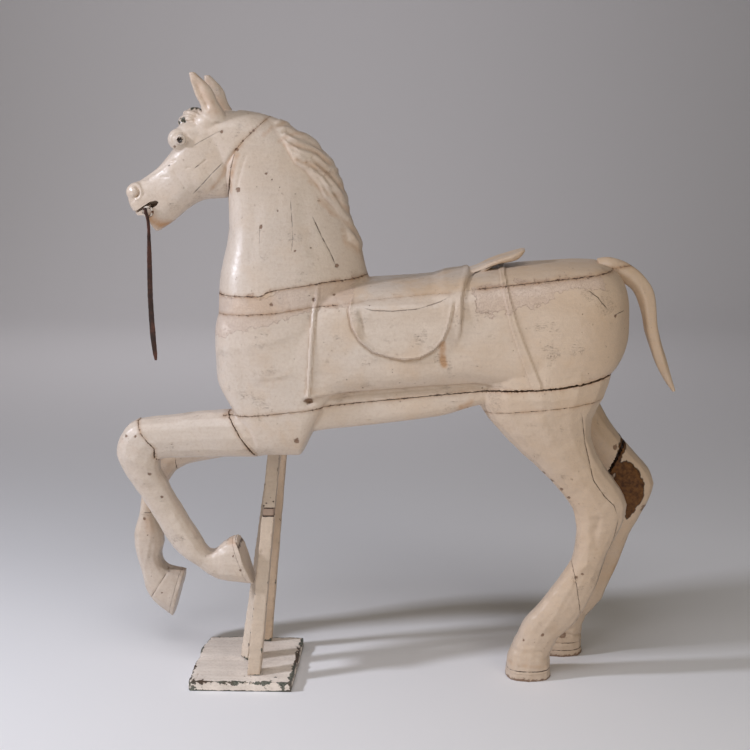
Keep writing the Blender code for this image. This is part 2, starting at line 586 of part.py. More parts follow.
def post(name, foot, top, size, turn, wood, z_low=PLATE_TOP + JOINT_GAP,
         z_high=KEEL_LOW - JOINT_GAP):
    """A square bar from foot to top (x, y), cut level at both ends and turned round itself."""
    full_low, full_high = PLATE_TOP + JOINT_GAP, KEEL_LOW - JOINT_GAP
    mesh = bmesh.new()
    rings = []
    for z in (z_low, z_high):
        t = (z - full_low) / (full_high - full_low)
        x, y = (a + (b - a) * t for a, b in zip(foot, top))
        half = (size[0] + (size[1] - size[0]) * t) / 2
        corners = [(half, half), (-half, half), (-half, -half), (half, -half)]
        c, s = math.cos(turn), math.sin(turn)
        rings.append([mesh.verts.new((x + a * c - b * s, y + a * s + b * c, z))
                      for a, b in corners])
    mesh.faces.new(rings[0])
    mesh.faces.new(rings[1])
    for i in range(4):
        k = (i + 1) % 4
        mesh.faces.new((rings[0][i], rings[0][k], rings[1][k], rings[1][i]))
    upright = [e for e in mesh.edges if abs(e.verts[0].co.z - e.verts[1].co.z) > 0.005]
    bmesh.ops.bevel(mesh, geom=upright, offset=0.0015, segments=1, affect="EDGES")
    return keep(finish_mesh(name, mesh), wood)


FRONT_POST = dict(foot=(-0.320, -0.124), top=(-0.2755, -0.031), size=(0.030, 0.027), turn=0.0)
SPLICE_LOW, SPLICE_HIGH = 0.377, 0.395


def stand_posts(wood, bare_wood):
    post("stand_front_post_lower", wood=wood, z_high=SPLICE_LOW - JOINT_GAP, **FRONT_POST)
    post("stand_post_packing", wood=bare_wood, z_low=SPLICE_LOW, z_high=SPLICE_HIGH,
         **dict(FRONT_POST, size=(0.027, 0.024)))
    post("stand_front_post_upper", wood=wood, z_low=SPLICE_HIGH + JOINT_GAP, **FRONT_POST)
    post("stand_side_post", (-0.345, -0.034), (-0.277, 0.012), (0.030, 0.022),
         math.radians(40), wood)
    post("stand_back_post", (-0.319, 0.072), (-0.267, 0.044), (0.026, 0.024), 0.0, wood)


# ---------------------------------------------------------------- everything
clear_scene()
root = bpy.data.objects.new("carousel_horse_root", None)
root.location = (MID_X, MID_Y, 0.0)
part.objects.link(root)

cream = material("aged_cream_paint", (0.72, 0.66, 0.56), 0.32)
glass = material("eye_glass", (0.03, 0.02, 0.02), 0.08)
iron = material("rusted_iron", (0.10, 0.07, 0.06), 0.70, 0.6)
leather = material("dark_leather", (0.09, 0.035, 0.02), 0.55)
worn_wood = material("worn_stand_paint", (0.62, 0.57, 0.48), 0.45)
bare = material("bare_wood", (0.36, 0.20, 0.13), 0.75)

sawn_blocks(cream)
saddle_cantle(cream)
tail(cream)
eyes(glass)
bit(iron)
rein(leather)
stand_plate(worn_wood)
stand_posts(worn_wood, bare)
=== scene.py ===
"""The looks of an antique carved carousel horse, glued up from blocks, on its strutted plank stand."""

import math

import bpy
import numpy as np
from mathutils import Matrix, Vector


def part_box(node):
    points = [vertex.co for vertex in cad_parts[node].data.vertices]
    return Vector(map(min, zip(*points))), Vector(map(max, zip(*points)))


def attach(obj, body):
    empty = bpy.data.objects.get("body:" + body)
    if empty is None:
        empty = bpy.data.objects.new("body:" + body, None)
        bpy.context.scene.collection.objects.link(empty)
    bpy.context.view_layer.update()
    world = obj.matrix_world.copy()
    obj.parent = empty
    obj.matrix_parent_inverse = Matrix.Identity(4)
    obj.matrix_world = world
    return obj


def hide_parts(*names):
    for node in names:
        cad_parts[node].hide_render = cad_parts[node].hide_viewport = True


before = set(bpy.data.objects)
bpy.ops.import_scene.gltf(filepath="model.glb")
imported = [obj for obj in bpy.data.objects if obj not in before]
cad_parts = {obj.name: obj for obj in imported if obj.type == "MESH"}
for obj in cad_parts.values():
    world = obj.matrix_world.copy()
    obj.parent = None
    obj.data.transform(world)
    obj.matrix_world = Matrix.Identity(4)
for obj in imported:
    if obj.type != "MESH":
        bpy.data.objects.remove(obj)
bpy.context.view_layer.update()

# ------------------------------------------------------------------ where it is seen from
# The horse stands side on to the camera, seen from a little above its back. All of its carving
# is measured from the middle of the horse, which the middle of its bit gives.
BIT_X = -0.538
bit_low, bit_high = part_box("bit")
MIDDLE = Vector(((bit_low.x + bit_high.x) / 2 - BIT_X, (bit_low.y + bit_high.y) / 2, 0.0))

CAMERA_AT, LOOKS_DOWN, TURNED = Vector((0.145, -3.12, 1.35)), 11.97, 1.75
LENS, SENSOR, SHIFT = 68.35, 36, -0.0593
camera = bpy.data.objects.new("camera", bpy.data.cameras.new("camera"))
bpy.context.scene.collection.objects.link(camera)
camera.location = MIDDLE + CAMERA_AT
camera.rotation_euler = (math.radians(90 - LOOKS_DOWN), 0, math.radians(TURNED))
camera.data.lens, camera.data.sensor_width, camera.data.shift_x = LENS, SENSOR, SHIFT
bpy.context.scene.camera = camera
bpy.context.scene.view_settings.view_transform = "Standard"
bpy.ops.object.select_all(action="DESELECT")


# ------------------------------------------------------------------ the rein
# One torn leather strap is left of the reins. It is looped round the near ring of the bit and
# hangs straight down from it, edge on at the top and flat lower down, and ends bare and torn.
class Tone:
    """A number or colour that a material works out, so that a sum can be written as one."""

    def __init__(self, tree, socket):
        self.tree, self.socket = tree, socket

    def beside(self, output):
        """Another output of the same node."""
        return Tone(self.tree, self.socket.node.outputs[output])

    def by(self, kind, other=0.0, clamp=False, swapped=False):
        """This value and another one, put through a sum of that kind."""
        node = self.tree.nodes.new("ShaderNodeMath")
        node.operation, node.use_clamp = kind, clamp
        join(self.tree, other if swapped else self, node.inputs[0])
        join(self.tree, self if swapped else other, node.inputs[1])
        return Tone(self.tree, node.outputs["Value"])

    def __add__(self, other):
        return self.by("ADD", other)

    def __sub__(self, other):
        return self.by("SUBTRACT", other)

    def __rsub__(self, other):
        return self.by("SUBTRACT", other, swapped=True)

    def __mul__(self, other):
        return self.by("MULTIPLY", other)

    __rmul__ = __mul__

    def __abs__(self):
        return self.by("ABSOLUTE")

    def between(self, low, high, to_low=0.0, to_high=1.0):
        """Stretches what lies between two values to lie between two others, and clips the rest."""
        node = self.tree.nodes.new("ShaderNodeMapRange")
        for key, value in zip(("Value", "From Min", "From Max", "To Min", "To Max"),
                              (self, low, high, to_low, to_high)):
            join(self.tree, value, node.inputs[key])
        return Tone(self.tree, node.outputs["Result"])


def join(tree, value, socket):
    """Links a worked-out value to a socket, or sets a plain one on the socket itself."""
    if isinstance(value, Tone):
        tree.links.new(value.socket, socket)
    else:
        socket.default_value = (*value, 1) if socket.type == "RGBA" else value


class Paint:
    """A material as it is mixed. Its patterns are laid out in the space of the whole horse."""

    def __init__(self, name):
        self.material = bpy.data.materials.new(name)
        self.material.use_nodes = True
        self.tree = self.material.node_tree
        self.shader = self.tree.nodes["Principled BSDF"]
        self.place = self.add("ShaderNodeTexCoord", "Object")

    def add(self, kind, output, inputs=None, **settings):
        """Adds a node and gives one of its outputs."""
        node = self.tree.nodes.new(kind)
        for key, value in settings.items():
            setattr(node, key, value)
        for key, value in (inputs or {}).items():
            join(self.tree, value, node.inputs[key])
        return Tone(self.tree, node.outputs[output])

    def noise(self, scale, detail=3.0, roughness=0.5, distortion=0.0, place=None):
        return self.add("ShaderNodeTexNoise", "Fac", {
            "Vector": place or self.place, "Scale": scale, "Detail": detail, "Roughness": roughness,
            "Distortion": distortion})

    def stretched(self, turn, scale):
        """The space turned round the horse's crosswise axis, then stretched."""
        turned = {"Vector": self.place, "Rotation": (0, math.radians(turn), 0), "Scale": scale}
        return self.add("ShaderNodeMapping", "Vector", turned, vector_type="POINT")

    def field(self, name):
        """The number that was noted for each point under this name."""
        return self.add("ShaderNodeAttribute", "Fac", attribute_name=name)

    def mix(self, share, one, two, kind="MIX"):
        """A colour between two; the sixth and seventh sockets are the colours of this node."""
        return self.add("ShaderNodeMix", 2, {"Factor": share, 6: one, 7: two}, data_type="RGBA",
                        blend_type=kind)

    def set(self, **values):
        """Sets the shader's sockets, each named in small letters."""
        for name, value in values.items():
            join(self.tree, value, self.shader.inputs[SOCKETS[name]])

    def bump(self, height, strength, distance):
        bump = self.add("ShaderNodeBump", "Normal",
                        {"Height": height, "Strength": strength, "Distance": distance})
        join(self.tree, bump, self.shader.inputs["Normal"])


SOCKETS = {"colour": "Base Color", "roughness": "Roughness", "metallic": "Metallic",
           "specular": "Specular IOR Level", "coat": "Coat Weight", "coat_roughness": "Coat Roughness"}


def only(thing):
    """Makes one piece the only one that is selected, and the active one."""
    bpy.ops.object.select_all(action="DESELECT")
    bpy.context.view_layer.objects.active = thing
    thing.select_set(True)


def tube(rows, sides):
    """Faces of a closed tube whose points run ring by ring."""
    faces = [(r * sides + i, r * sides + (i + 1) % sides, (r + 1) * sides + (i + 1) % sides,
              (r + 1) * sides + i) for r in range(rows - 1) for i in range(sides)]
    return faces + [tuple(range(sides))[::-1], tuple(range((rows - 1) * sides, rows * sides))]


def solid(name, points, faces):
    """An object from points and faces."""
    mesh = bpy.data.meshes.new(name)
    mesh.from_pydata(np.asarray(points).tolist(), [], [tuple(int(i) for i in f) for f in faces])
    thing = bpy.data.objects.new(name, mesh)
    bpy.context.scene.collection.objects.link(thing)
    return thing


def face_outwards(thing):
    """Turns every face of a closed piece outwards."""
    only(thing)
    bpy.ops.object.mode_set(mode="EDIT")
    bpy.ops.mesh.select_all(action="SELECT")
    bpy.ops.mesh.normals_make_consistent(inside=False)
    bpy.ops.object.mode_set(mode="OBJECT")


def settle(thing, node, paint, angle=40):
    """Smooths the shading of a finished piece, paints it and lets it stand for its node."""
    only(thing)
    bpy.ops.object.shade_smooth_by_angle(angle=math.radians(angle))
    thing.data.materials.clear()
    thing.data.materials.append(paint)
    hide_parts(node)
    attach(thing, "root")


RING_OUT = 0.0465
RING_Y = (bit_low.y + bit_high.y) / 2 - MIDDLE.y - RING_OUT
REIN = [(-0.5425, -0.0045, 1.0650), (-0.5412, -0.0050, 1.0560), (-0.5392, -0.0040, 1.0460),
        (-0.5380, -0.0010, 1.0350), (-0.5375, 0.0, 1.0200), (-0.5380, 0.0, 0.990), (-0.5390, 0.0, 0.930),
        (-0.5400, 0.0, 0.870), (-0.5390, 0.0, 0.820), (-0.5370, 0.0, 0.775), (-0.5330, 0.0, 0.728)]
REIN_WIDTH, REIN_THICK, REIN_STEPS = 0.012, 0.0026, 72
WORN_WIDTH = ([0, 0.12, 0.3, 0.85, 0.96, 1], [0.75, 0.8, 1, 1, 0.85, 0.45])
HANGS_TURNED = ([0, 0.15, 0.45, 0.8, 1], [62, 66, 34, 22, 40])
STRAP_EDGE = [(-1, 0), (-0.94, 0.7), (-0.6, 1), (0, 0.86), (0.6, 1), (0.94, 0.7),
              (1, 0), (0.94, -0.7), (0.6, -1), (0, -1.1), (-0.6, -1), (-0.94, -0.7)]


def rein_route():
    """Evenly spaced points down the middle of the strap, their share of its length, and the length."""
    given = np.array([MIDDLE + Vector((x, RING_Y + y, z)) for x, y, z in REIN])
    run = np.concatenate([[0], np.cumsum(np.linalg.norm(np.diff(given, axis=0), axis=1))])
    at = np.linspace(0, run[-1], REIN_STEPS)
    return np.stack([np.interp(at, run, given[:, k]) for k in range(3)], 1), at / run[-1], run[-1]


def rein_strap(route, share):
    """A flat strap that turns as it hangs, with rounded edges and a torn end."""
    wide = np.interp(share, *WORN_WIDTH) * REIN_WIDTH / 2
    turn = np.radians(np.interp(share, *HANGS_TURNED))
    wide *= 1 + np.random.default_rng(5).normal(0, 0.03, REIN_STEPS)
    points = []
    for (x, y, z), half, angle in zip(route, wide, turn):
        for u, v in STRAP_EDGE:
            a, b = u * half, v * REIN_THICK / 2
            points.append((x + a * math.cos(angle) - b * math.sin(angle),
                           y + a * math.sin(angle) + b * math.cos(angle), z))
    strap = solid("rein_strap", points, tube(REIN_STEPS, len(STRAP_EDGE)))
    face_outwards(strap)
    return strap


def old_leather():
    """Dry brown leather, darker and cracked across, with a reddish bloom where it is rubbed."""
    leather = Paint("old_leather")
    grain = leather.noise(420.0, 4.0, 0.65)
    cracks = leather.noise(1.0, 3.0, 0.6, place=leather.stretched(0, (90.0, 90.0, 420.0)))
    rubbed = leather.noise(38.0, 3.0, 0.6)
    colour = leather.mix(rubbed.between(0.42, 0.66), (0.030, 0.013, 0.010), (0.110, 0.040, 0.026))
    colour = leather.mix(cracks.between(0.56, 0.72, 0.0, 0.75), colour, (0.010, 0.006, 0.005))
    leather.set(colour=colour, roughness=grain.between(0.3, 0.7, 0.48, 0.78))
    leather.bump(0.5 * grain - 0.8 * cracks, 0.7, 0.0008)
    return leather.material


rein_path, rein_share, rein_length = rein_route()
strap = rein_strap(rein_path, rein_share)
settle(strap, "rein", old_leather(), 50)


# ------------------------------------------------------------------ the studio
# A pale floor that sweeps up into a backdrop, with painted shade that greys the paper towards the back.
# One small lamp stands on the left, so every leg throws a shadow to the right. The rest are wide and
# soft, and one only lights the wall.
SWEEP, WALL_AT, WALL_HIGH, FLOOR_HALF, FLOOR_FRONT = 2.2, 4.6, 9.0, 14.0, -12.0
PAPER_NEAR, PAPER_FAR_SHADED, FADES = (0.90, 0.89, 0.90), (0.60, 0.59, 0.61), (-1.4, 3.2)


def backdrop():
    """Floor, sweep and wall as one strip, with painted shade that darkens the paper towards the back."""
    line = [(FLOOR_FRONT, 0.0), (WALL_AT, 0.0)]
    line += [(WALL_AT + SWEEP * math.sin(a), SWEEP - SWEEP * math.cos(a))
             for a in np.linspace(0.1, math.pi / 2, 14)]
    line.append((WALL_AT + SWEEP, WALL_HIGH))
    count = len(line)
    strip = solid("studio_floor", [(x, y, z) for x in (-FLOOR_HALF, FLOOR_HALF) for y, z in line],
                  [(i, i + count, i + count + 1, i + 1) for i in range(count - 1)])
    strip.data.shade_smooth()
    paper = Paint("studio_paper")
    y = paper.add("ShaderNodeSeparateXYZ", "Y", {"Vector": paper.place})
    # Painted shade: the paper goes from its near colour to a darker one towards the back.
    far = paper.add("ShaderNodeMapRange", "Result", {"Value": y, "From Min": FADES[0], "From Max": FADES[1]},
                    interpolation_type="SMOOTHSTEP")
    paper.set(colour=paper.mix(far, PAPER_NEAR, PAPER_FAR_SHADED), roughness=0.9, specular=0.15)
    strip.data.materials.append(paper.material)


def lamp(name, place, aim, size, watts, colour, spread=180):
    """A soft box at its place, turned to what it lights."""
    light = bpy.data.lights.new(name, "AREA")
    light.shape, light.energy, light.color, light.spread = "RECTANGLE", watts, colour, math.radians(spread)
    light.size, light.size_y = size
    holder = bpy.data.objects.new(name, light)
    bpy.context.scene.collection.objects.link(holder)
    holder.location = place
    holder.rotation_euler = (Vector(aim) - Vector(place)).to_track_quat("-Z", "Y").to_euler()


backdrop()
lamp("key", (-2.85, -0.80, 2.20), (-0.10, -0.1, 0.1), (0.30, 0.30), 35, (0.93, 0.97, 1.10), 140)
lamp("fill", (-0.4, -2.1, 4.4), (0.0, 0.3, 0.2), (2.8, 1.6), 51, (1.0, 1.0, 1.06))
lamp("side_fill", (2.2, -3.0, 2.4), (0.0, 0.0, 0.6), (1.6, 1.2), 14, (1.08, 1.0, 0.86))
lamp("low_fill", (0.2, -3.0, 0.5), (0.0, 0.0, 0.7), (2.0, 0.8), 16, (1.05, 1.0, 0.94))
lamp("wall_light", (-1.2, 3.0, 2.8), (-1.1, 6.5, 0.0), (3.2, 0.8), 56, (1.0, 0.97, 1.0))
world = bpy.data.worlds.new("studio")
world.use_nodes = True
glow = world.node_tree.nodes["Background"].inputs
glow["Color"].default_value, glow["Strength"].default_value = (1.0, 0.92, 0.76, 1), 0.13
bpy.context.scene.world = world


# ------------------------------------------------------------------ the carved forms
# The horse is glued up from softwood blocks and carved as one shape. Each form is an outline
# for every row, front or top point first, then the middle and half width across the horse.
def curve_through(rows, steps):
    """Rows between the given ones, on a curve that never swings past them."""
    rows = np.array(rows, float)
    gap = np.linalg.norm(np.diff(rows[:, :4], axis=0), axis=1).clip(1e-6)[:, None]
    slope = np.diff(rows, axis=0) / gap
    same = slope[:-1] * slope[1:] > 0
    middle = np.where(same, 2 * slope[:-1] * slope[1:] / np.where(same, slope[:-1] + slope[1:], 1), 0)
    tangent = np.vstack([slope[:1], middle, slope[-1:]])
    t = (np.arange(steps) / steps)[:, None]
    out = []
    for i, long in enumerate(gap):
        out.append((2 * t**3 - 3 * t**2 + 1) * rows[i] + (t**3 - 2 * t**2 + t) * tangent[i] * long
                   + (3 * t**2 - 2 * t**3) * rows[i + 1] + (t**3 - t**2) * tangent[i + 1] * long)
    return np.vstack(out + [rows[-1:]])


def lengthways(rows, sides):
    """Faces of a form whose rings run the other way round, so that its ends are turned over."""
    *walls, first, last = tube(rows, sides)
    return walls + [first[::-1], last[::-1]]


def form(rows, powers=(2.3, 2.3), lean=0.0, sides=48, steps=5, full=0.962, shiver=0.0):
    """Points and faces of a closed form with a rounded outline at each row."""
    rows = curve_through(rows, steps)
    angle = 2 * math.pi * (np.arange(sides) + 0.5) / sides
    c, s = np.cos(angle), np.sin(angle)
    power = np.where(c > 0, powers[0], powers[1])
    along = np.sign(c) * np.abs(c) ** (2 / power)
    across = np.sign(s) * np.abs(s) ** (2 / power) * (1 + lean * along)
    share = (1 - full * along) / 2
    x = rows[:, 0:1] + (rows[:, 2:3] - rows[:, 0:1]) * share
    z = rows[:, 1:2] + (rows[:, 3:4] - rows[:, 1:2]) * share
    y = rows[:, 4:5] + rows[:, 5:6] * across
    points = np.stack([x, y, z], axis=2).reshape(-1, 3)
    points += np.random.default_rng(len(rows)).normal(0, 1, points.shape) * shiver
    return points, lengthways(len(rows), sides)


def ball(centre, radii, sides=32):
    """Points and faces of a rounded lump."""
    rise = np.linspace(-1, 1, sides)[1:-1] * math.pi / 2
    angle = 2 * math.pi * np.arange(sides) / sides
    points = np.stack([np.outer(np.cos(rise), np.cos(angle)), np.outer(np.cos(rise), np.sin(angle)),
                       np.outer(np.sin(rise), np.ones(sides))], axis=2).reshape(-1, 3)
    return points * radii + centre, lengthways(len(rise), sides)


def slices(table):
    """Upright slices (x, top, bottom, half width) as rows."""
    return [(x, top, x, low, 0.0, half) for x, top, low, half in table]


def carved(rows):
    """A leg, cut in flat strokes of the gouge."""
    return form(rows, (2.5, 2.5), 0.0, 14, 2, 0.972, 0.0006)


BARREL_HALF, KEEL_LOW = 0.150, 0.525
barrel = form(slices([
    (-0.396, 0.812, 0.710, 0.066), (-0.389, 0.838, 0.684, 0.096), (-0.373, 0.860, 0.656, 0.120),
    (-0.357, 0.869, 0.629, 0.131), (-0.338, 0.876, 0.597, 0.138), (-0.319, 0.881, 0.564, 0.142),
    (-0.306, 0.883, 0.538, 0.145), (-0.298, 0.885, KEEL_LOW, 0.146),
    (-0.250, 0.889, KEEL_LOW, BARREL_HALF), (-0.212, 0.892, KEEL_LOW, BARREL_HALF),
    (-0.190, 0.894, 0.560, BARREL_HALF), (-0.168, 0.896, 0.606, BARREL_HALF),
    (-0.140, 0.899, 0.652, BARREL_HALF), (-0.090, 0.903, 0.672, BARREL_HALF),
    (-0.040, 0.907, 0.678, BARREL_HALF), (0.060, 0.914, 0.686, BARREL_HALF),
    (0.150, 0.924, 0.694, BARREL_HALF), (0.200, 0.931, 0.692, BARREL_HALF),
    (0.260, 0.939, 0.684, BARREL_HALF), (0.330, 0.945, 0.680, 0.151),
    (0.390, 0.948, 0.681, 0.148), (0.430, 0.947, 0.689, 0.142), (0.458, 0.941, 0.703, 0.130),
    (0.480, 0.928, 0.722, 0.112), (0.497, 0.903, 0.752, 0.085), (0.507, 0.872, 0.782, 0.056),
    (0.511, 0.842, 0.808, 0.028)]), (3.0, 7.0), sides=96, full=0.990)
belly = form(slices([(-0.24, 0.680, 0.556, 0.128), (-0.17, 0.700, 0.582, 0.128),
                     (-0.05, 0.710, 0.597, 0.128), (0.10, 0.730, 0.619, 0.128),
                     (0.16, 0.735, 0.637, 0.128), (0.22, 0.740, 0.653, 0.128),
                     (0.30, 0.750, 0.668, 0.128)]), (6.0, 7.0), full=1.0)
hips = form(slices([(0.215, 0.74, 0.646, 0.118), (0.33, 0.74, 0.656, 0.118),
                    (0.41, 0.74, 0.666, 0.118), (0.445, 0.74, 0.676, 0.118)]), (5.0, 5.0))
neck_rows = [
    (-0.392, 0.690, 0.060, 0.760, 0.0, 0.146), (-0.394, 0.770, 0.000, 0.840, 0.0, 0.145),
    (-0.393, 0.830, -0.048, 0.888, 0.0, 0.138), (-0.392, 0.874, -0.062, 0.916, 0.0, 0.127),
    (-0.389, 0.912, -0.070, 0.946, 0.0, 0.116), (-0.381, 0.952, -0.081, 0.981, 0.0, 0.105),
    (-0.371, 0.992, -0.096, 1.018, 0.0, 0.095), (-0.367, 1.030, -0.108, 1.055, 0.0, 0.087),
    (-0.367, 1.070, -0.122, 1.100, 0.0, 0.080), (-0.371, 1.110, -0.140, 1.146, 0.0, 0.074),
    (-0.381, 1.148, -0.169, 1.188, 0.0, 0.069), (-0.397, 1.182, -0.204, 1.217, 0.0, 0.064),
    (-0.414, 1.202, -0.235, 1.240, 0.0, 0.060), (-0.426, 1.212, -0.296, 1.266, 0.0, 0.055),
    (-0.432, 1.216, -0.340, 1.273, 0.0, 0.050)]
skull_rows = [
    (-0.330, 1.262, -0.345, 1.130, 0.0, 0.046), (-0.360, 1.272, -0.368, 1.084, 0.0, 0.054),
    (-0.398, 1.271, -0.392, 1.080, 0.0, 0.058), (-0.430, 1.260, -0.413, 1.079, 0.0, 0.059),
    (-0.454, 1.236, -0.433, 1.073, 0.0, 0.057), (-0.474, 1.206, -0.454, 1.060, 0.0, 0.053),
    (-0.494, 1.179, -0.474, 1.045, 0.0, 0.048), (-0.519, 1.151, -0.494, 1.029, 0.0, 0.043),
    (-0.545, 1.132, -0.512, 1.017, 0.0, 0.040), (-0.566, 1.118, -0.526, 1.009, 0.0, 0.039),
    (-0.581, 1.102, -0.541, 1.015, 0.0, 0.036), (-0.588, 1.084, -0.557, 1.034, 0.0, 0.030),
    (-0.584, 1.066, -0.569, 1.046, 0.0, 0.020)]


def ear(side, back, lean, height):
    """A leaf-shaped ear; the far one stands further back and leans."""
    rows = [(-0.410, 1.246, -0.362, 1.250, 0.018), (-0.415, 1.274, -0.371, 1.274, 0.018),
            (-0.419, 1.287, -0.380, 1.287, 0.017), (-0.426, 1.300, -0.386, 1.300, 0.015),
            (-0.431, 1.313, -0.391, 1.313, 0.013), (-0.435, 1.326, -0.400, 1.326, 0.011),
            (-0.438, 1.339, -0.414, 1.339, 0.009), (-0.440, 1.352, -0.428, 1.352, 0.007)]
    return form([(x1 + back + lean * (z1 - 1.246), 1.246 + (z1 - 1.246) * height,
                  x2 + back + lean * (z2 - 1.246), 1.246 + (z2 - 1.246) * height, side * 0.036, half)
                 for x1, z1, x2, z2, half in rows], (2.2, 2.2), 0.0, 24, full=1.04)


near_fore = [
    (-0.318, 0.630, -0.235, 0.535, -0.086, 0.052), (-0.380, 0.626, -0.308, 0.521, -0.088, 0.052),
    (-0.430, 0.624, -0.375, 0.520, -0.090, 0.047), (-0.480, 0.616, -0.440, 0.519, -0.090, 0.044),
    (-0.530, 0.611, -0.495, 0.518, -0.090, 0.043), (-0.570, 0.606, -0.520, 0.512, -0.090, 0.044),
    (-0.598, 0.587, -0.524, 0.500, -0.090, 0.044), (-0.614, 0.557, -0.521, 0.488, -0.090, 0.043),
    (-0.619, 0.528, -0.515, 0.476, -0.089, 0.041), (-0.608, 0.494, -0.508, 0.463, -0.088, 0.038),
    (-0.590, 0.463, -0.500, 0.444, -0.087, 0.035), (-0.570, 0.430, -0.489, 0.420, -0.086, 0.033),
    (-0.547, 0.391, -0.474, 0.393, -0.085, 0.032), (-0.523, 0.345, -0.452, 0.356, -0.085, 0.032),
    (-0.502, 0.312, -0.433, 0.325, -0.085, 0.034), (-0.474, 0.287, -0.419, 0.301, -0.085, 0.034),
    (-0.441, 0.262, -0.408, 0.301, -0.085, 0.032), (-0.410, 0.239, -0.397, 0.314, -0.085, 0.034),
    (-0.385, 0.230, -0.379, 0.329, -0.085, 0.038), (-0.352, 0.227, -0.366, 0.335, -0.085, 0.041),
    (-0.318, 0.223, -0.356, 0.338, -0.085, 0.043)]
far_fore = [
    (-0.318, 0.592, -0.250, 0.526, 0.086, 0.050), (-0.385, 0.586, -0.352, 0.488, 0.088, 0.050),
    (-0.440, 0.580, -0.420, 0.469, 0.089, 0.047), (-0.492, 0.574, -0.476, 0.458, 0.088, 0.043),
    (-0.545, 0.560, -0.512, 0.444, 0.087, 0.043), (-0.580, 0.536, -0.530, 0.428, 0.086, 0.042),
    (-0.598, 0.497, -0.541, 0.410, 0.085, 0.040), (-0.604, 0.455, -0.551, 0.394, 0.084, 0.037),
    (-0.605, 0.412, -0.563, 0.374, 0.083, 0.034), (-0.606, 0.380, -0.571, 0.354, 0.082, 0.032),
    (-0.611, 0.348, -0.575, 0.335, 0.082, 0.032), (-0.621, 0.312, -0.566, 0.310, 0.082, 0.033),
    (-0.629, 0.284, -0.558, 0.286, 0.082, 0.034), (-0.629, 0.256, -0.557, 0.262, 0.082, 0.034),
    (-0.622, 0.222, -0.565, 0.236, 0.082, 0.033), (-0.613, 0.190, -0.559, 0.212, 0.082, 0.034),
    (-0.608, 0.160, -0.545, 0.202, 0.082, 0.037), (-0.598, 0.130, -0.530, 0.200, 0.082, 0.040),
    (-0.574, 0.104, -0.518, 0.198, 0.082, 0.042), (-0.542, 0.079, -0.508, 0.197, 0.082, 0.043)]
hind = [
    (0.196, 0.745, 0.470, 0.765, 0.078, 0.072), (0.172, 0.690, 0.474, 0.715, 0.080, 0.074),
    (0.171, 0.662, 0.463, 0.672, 0.082, 0.075), (0.184, 0.634, 0.447, 0.645, 0.083, 0.074),
    (0.210, 0.600, 0.434, 0.618, 0.084, 0.070), (0.244, 0.564, 0.430, 0.588, 0.085, 0.065),
    (0.280, 0.530, 0.437, 0.553, 0.085, 0.060), (0.318, 0.493, 0.454, 0.517, 0.084, 0.055),
    (0.352, 0.458, 0.477, 0.481, 0.083, 0.050), (0.378, 0.424, 0.500, 0.449, 0.082, 0.046),
    (0.394, 0.395, 0.513, 0.417, 0.081, 0.043), (0.399, 0.362, 0.509, 0.382, 0.080, 0.040),
    (0.399, 0.328, 0.494, 0.347, 0.079, 0.037), (0.396, 0.298, 0.476, 0.309, 0.078, 0.035),
    (0.386, 0.270, 0.464, 0.270, 0.077, 0.034), (0.371, 0.246, 0.454, 0.232, 0.076, 0.033),
    (0.353, 0.220, 0.441, 0.199, 0.074, 0.033), (0.335, 0.193, 0.424, 0.163, 0.072, 0.034),
    (0.317, 0.168, 0.408, 0.134, 0.070, 0.035), (0.299, 0.148, 0.384, 0.110, 0.068, 0.034),
    (0.284, 0.126, 0.366, 0.090, 0.067, 0.033), (0.275, 0.103, 0.356, 0.070, 0.066, 0.034),
    (0.265, 0.082, 0.352, 0.056, 0.065, 0.038), (0.256, 0.060, 0.352, 0.044, 0.065, 0.041),
    (0.249, 0.030, 0.353, 0.028, 0.065, 0.044), (0.246, 0.000, 0.353, 0.000, 0.065, 0.045)]
HIP_Z = hind[0][1]
FAR_HIND_BACK = [0.0, 0.0, 0.0, 0.010, 0.028, 0.046, 0.060, 0.071, 0.079, 0.083, 0.081, 0.077,
                 0.074, 0.072, 0.068, 0.066, 0.065, 0.068, 0.072, 0.076, 0.078, 0.080, 0.082,
                 0.083, 0.083, 0.083]
near_hind = [(a, b, c, d, 0.008 * (1 - b / HIP_Z) - y, half) for a, b, c, d, y, half in hind]
far_hind = [(a + back, b, c + back, d, y + 0.022 * (1 - b / HIP_Z), half)
            for (a, b, c, d, y, half), back in zip(hind, FAR_HIND_BACK)]


def apply_all(thing):
    """Applies every modifier of a piece."""
    only(thing)
    for modifier in list(thing.modifiers):
        bpy.ops.object.modifier_apply(modifier=modifier.name)


def gathered(forms):
    """The points and faces of several forms as one."""
    points, faces, count = [], [], 0
    for some, theirs in forms:
        points.append(some)
        faces += [[i + count for i in f] for f in theirs]
        count += len(some)
    return np.vstack(points), faces


def fuse(name, forms, voxel, sanding=3):
    """One solid from forms that overlap, with the edges between them sanded off."""
    thing = solid(name, *gathered(forms))
    joined = thing.modifiers.new("joined", "REMESH")
    joined.mode, joined.voxel_size = "VOXEL", voxel
    sanded = thing.modifiers.new("sanded", "SMOOTH")
    sanded.factor, sanded.iterations = 0.5, sanding
    apply_all(thing)
    return thing


def read(thing, what="co"):
    """The points of a mesh, or their normals."""
    source = thing.data.vertices if what == "co" else thing.data.vertex_normals
    out = np.empty(len(thing.data.vertices) * 3, np.float32)
    source.foreach_get("co" if what == "co" else "vector", out)
    return out.reshape(-1, 3).astype(float)


def carve(thing, depth):
    """Moves each point along its normal by what depth says, inwards where it is negative."""
    points, normals = read(thing), read(thing, "normal")
    points += normals * depth(points, normals)[:, None]
    thing.data.vertices.foreach_set("co", points.astype(np.float32).ravel())
    thing.data.update()


def smooth(value, low, high):
    """0 below low, 1 above high and a soft rise between."""
    t = np.clip((value - low) / (high - low), 0, 1)
    return t * t * (3 - 2 * t)


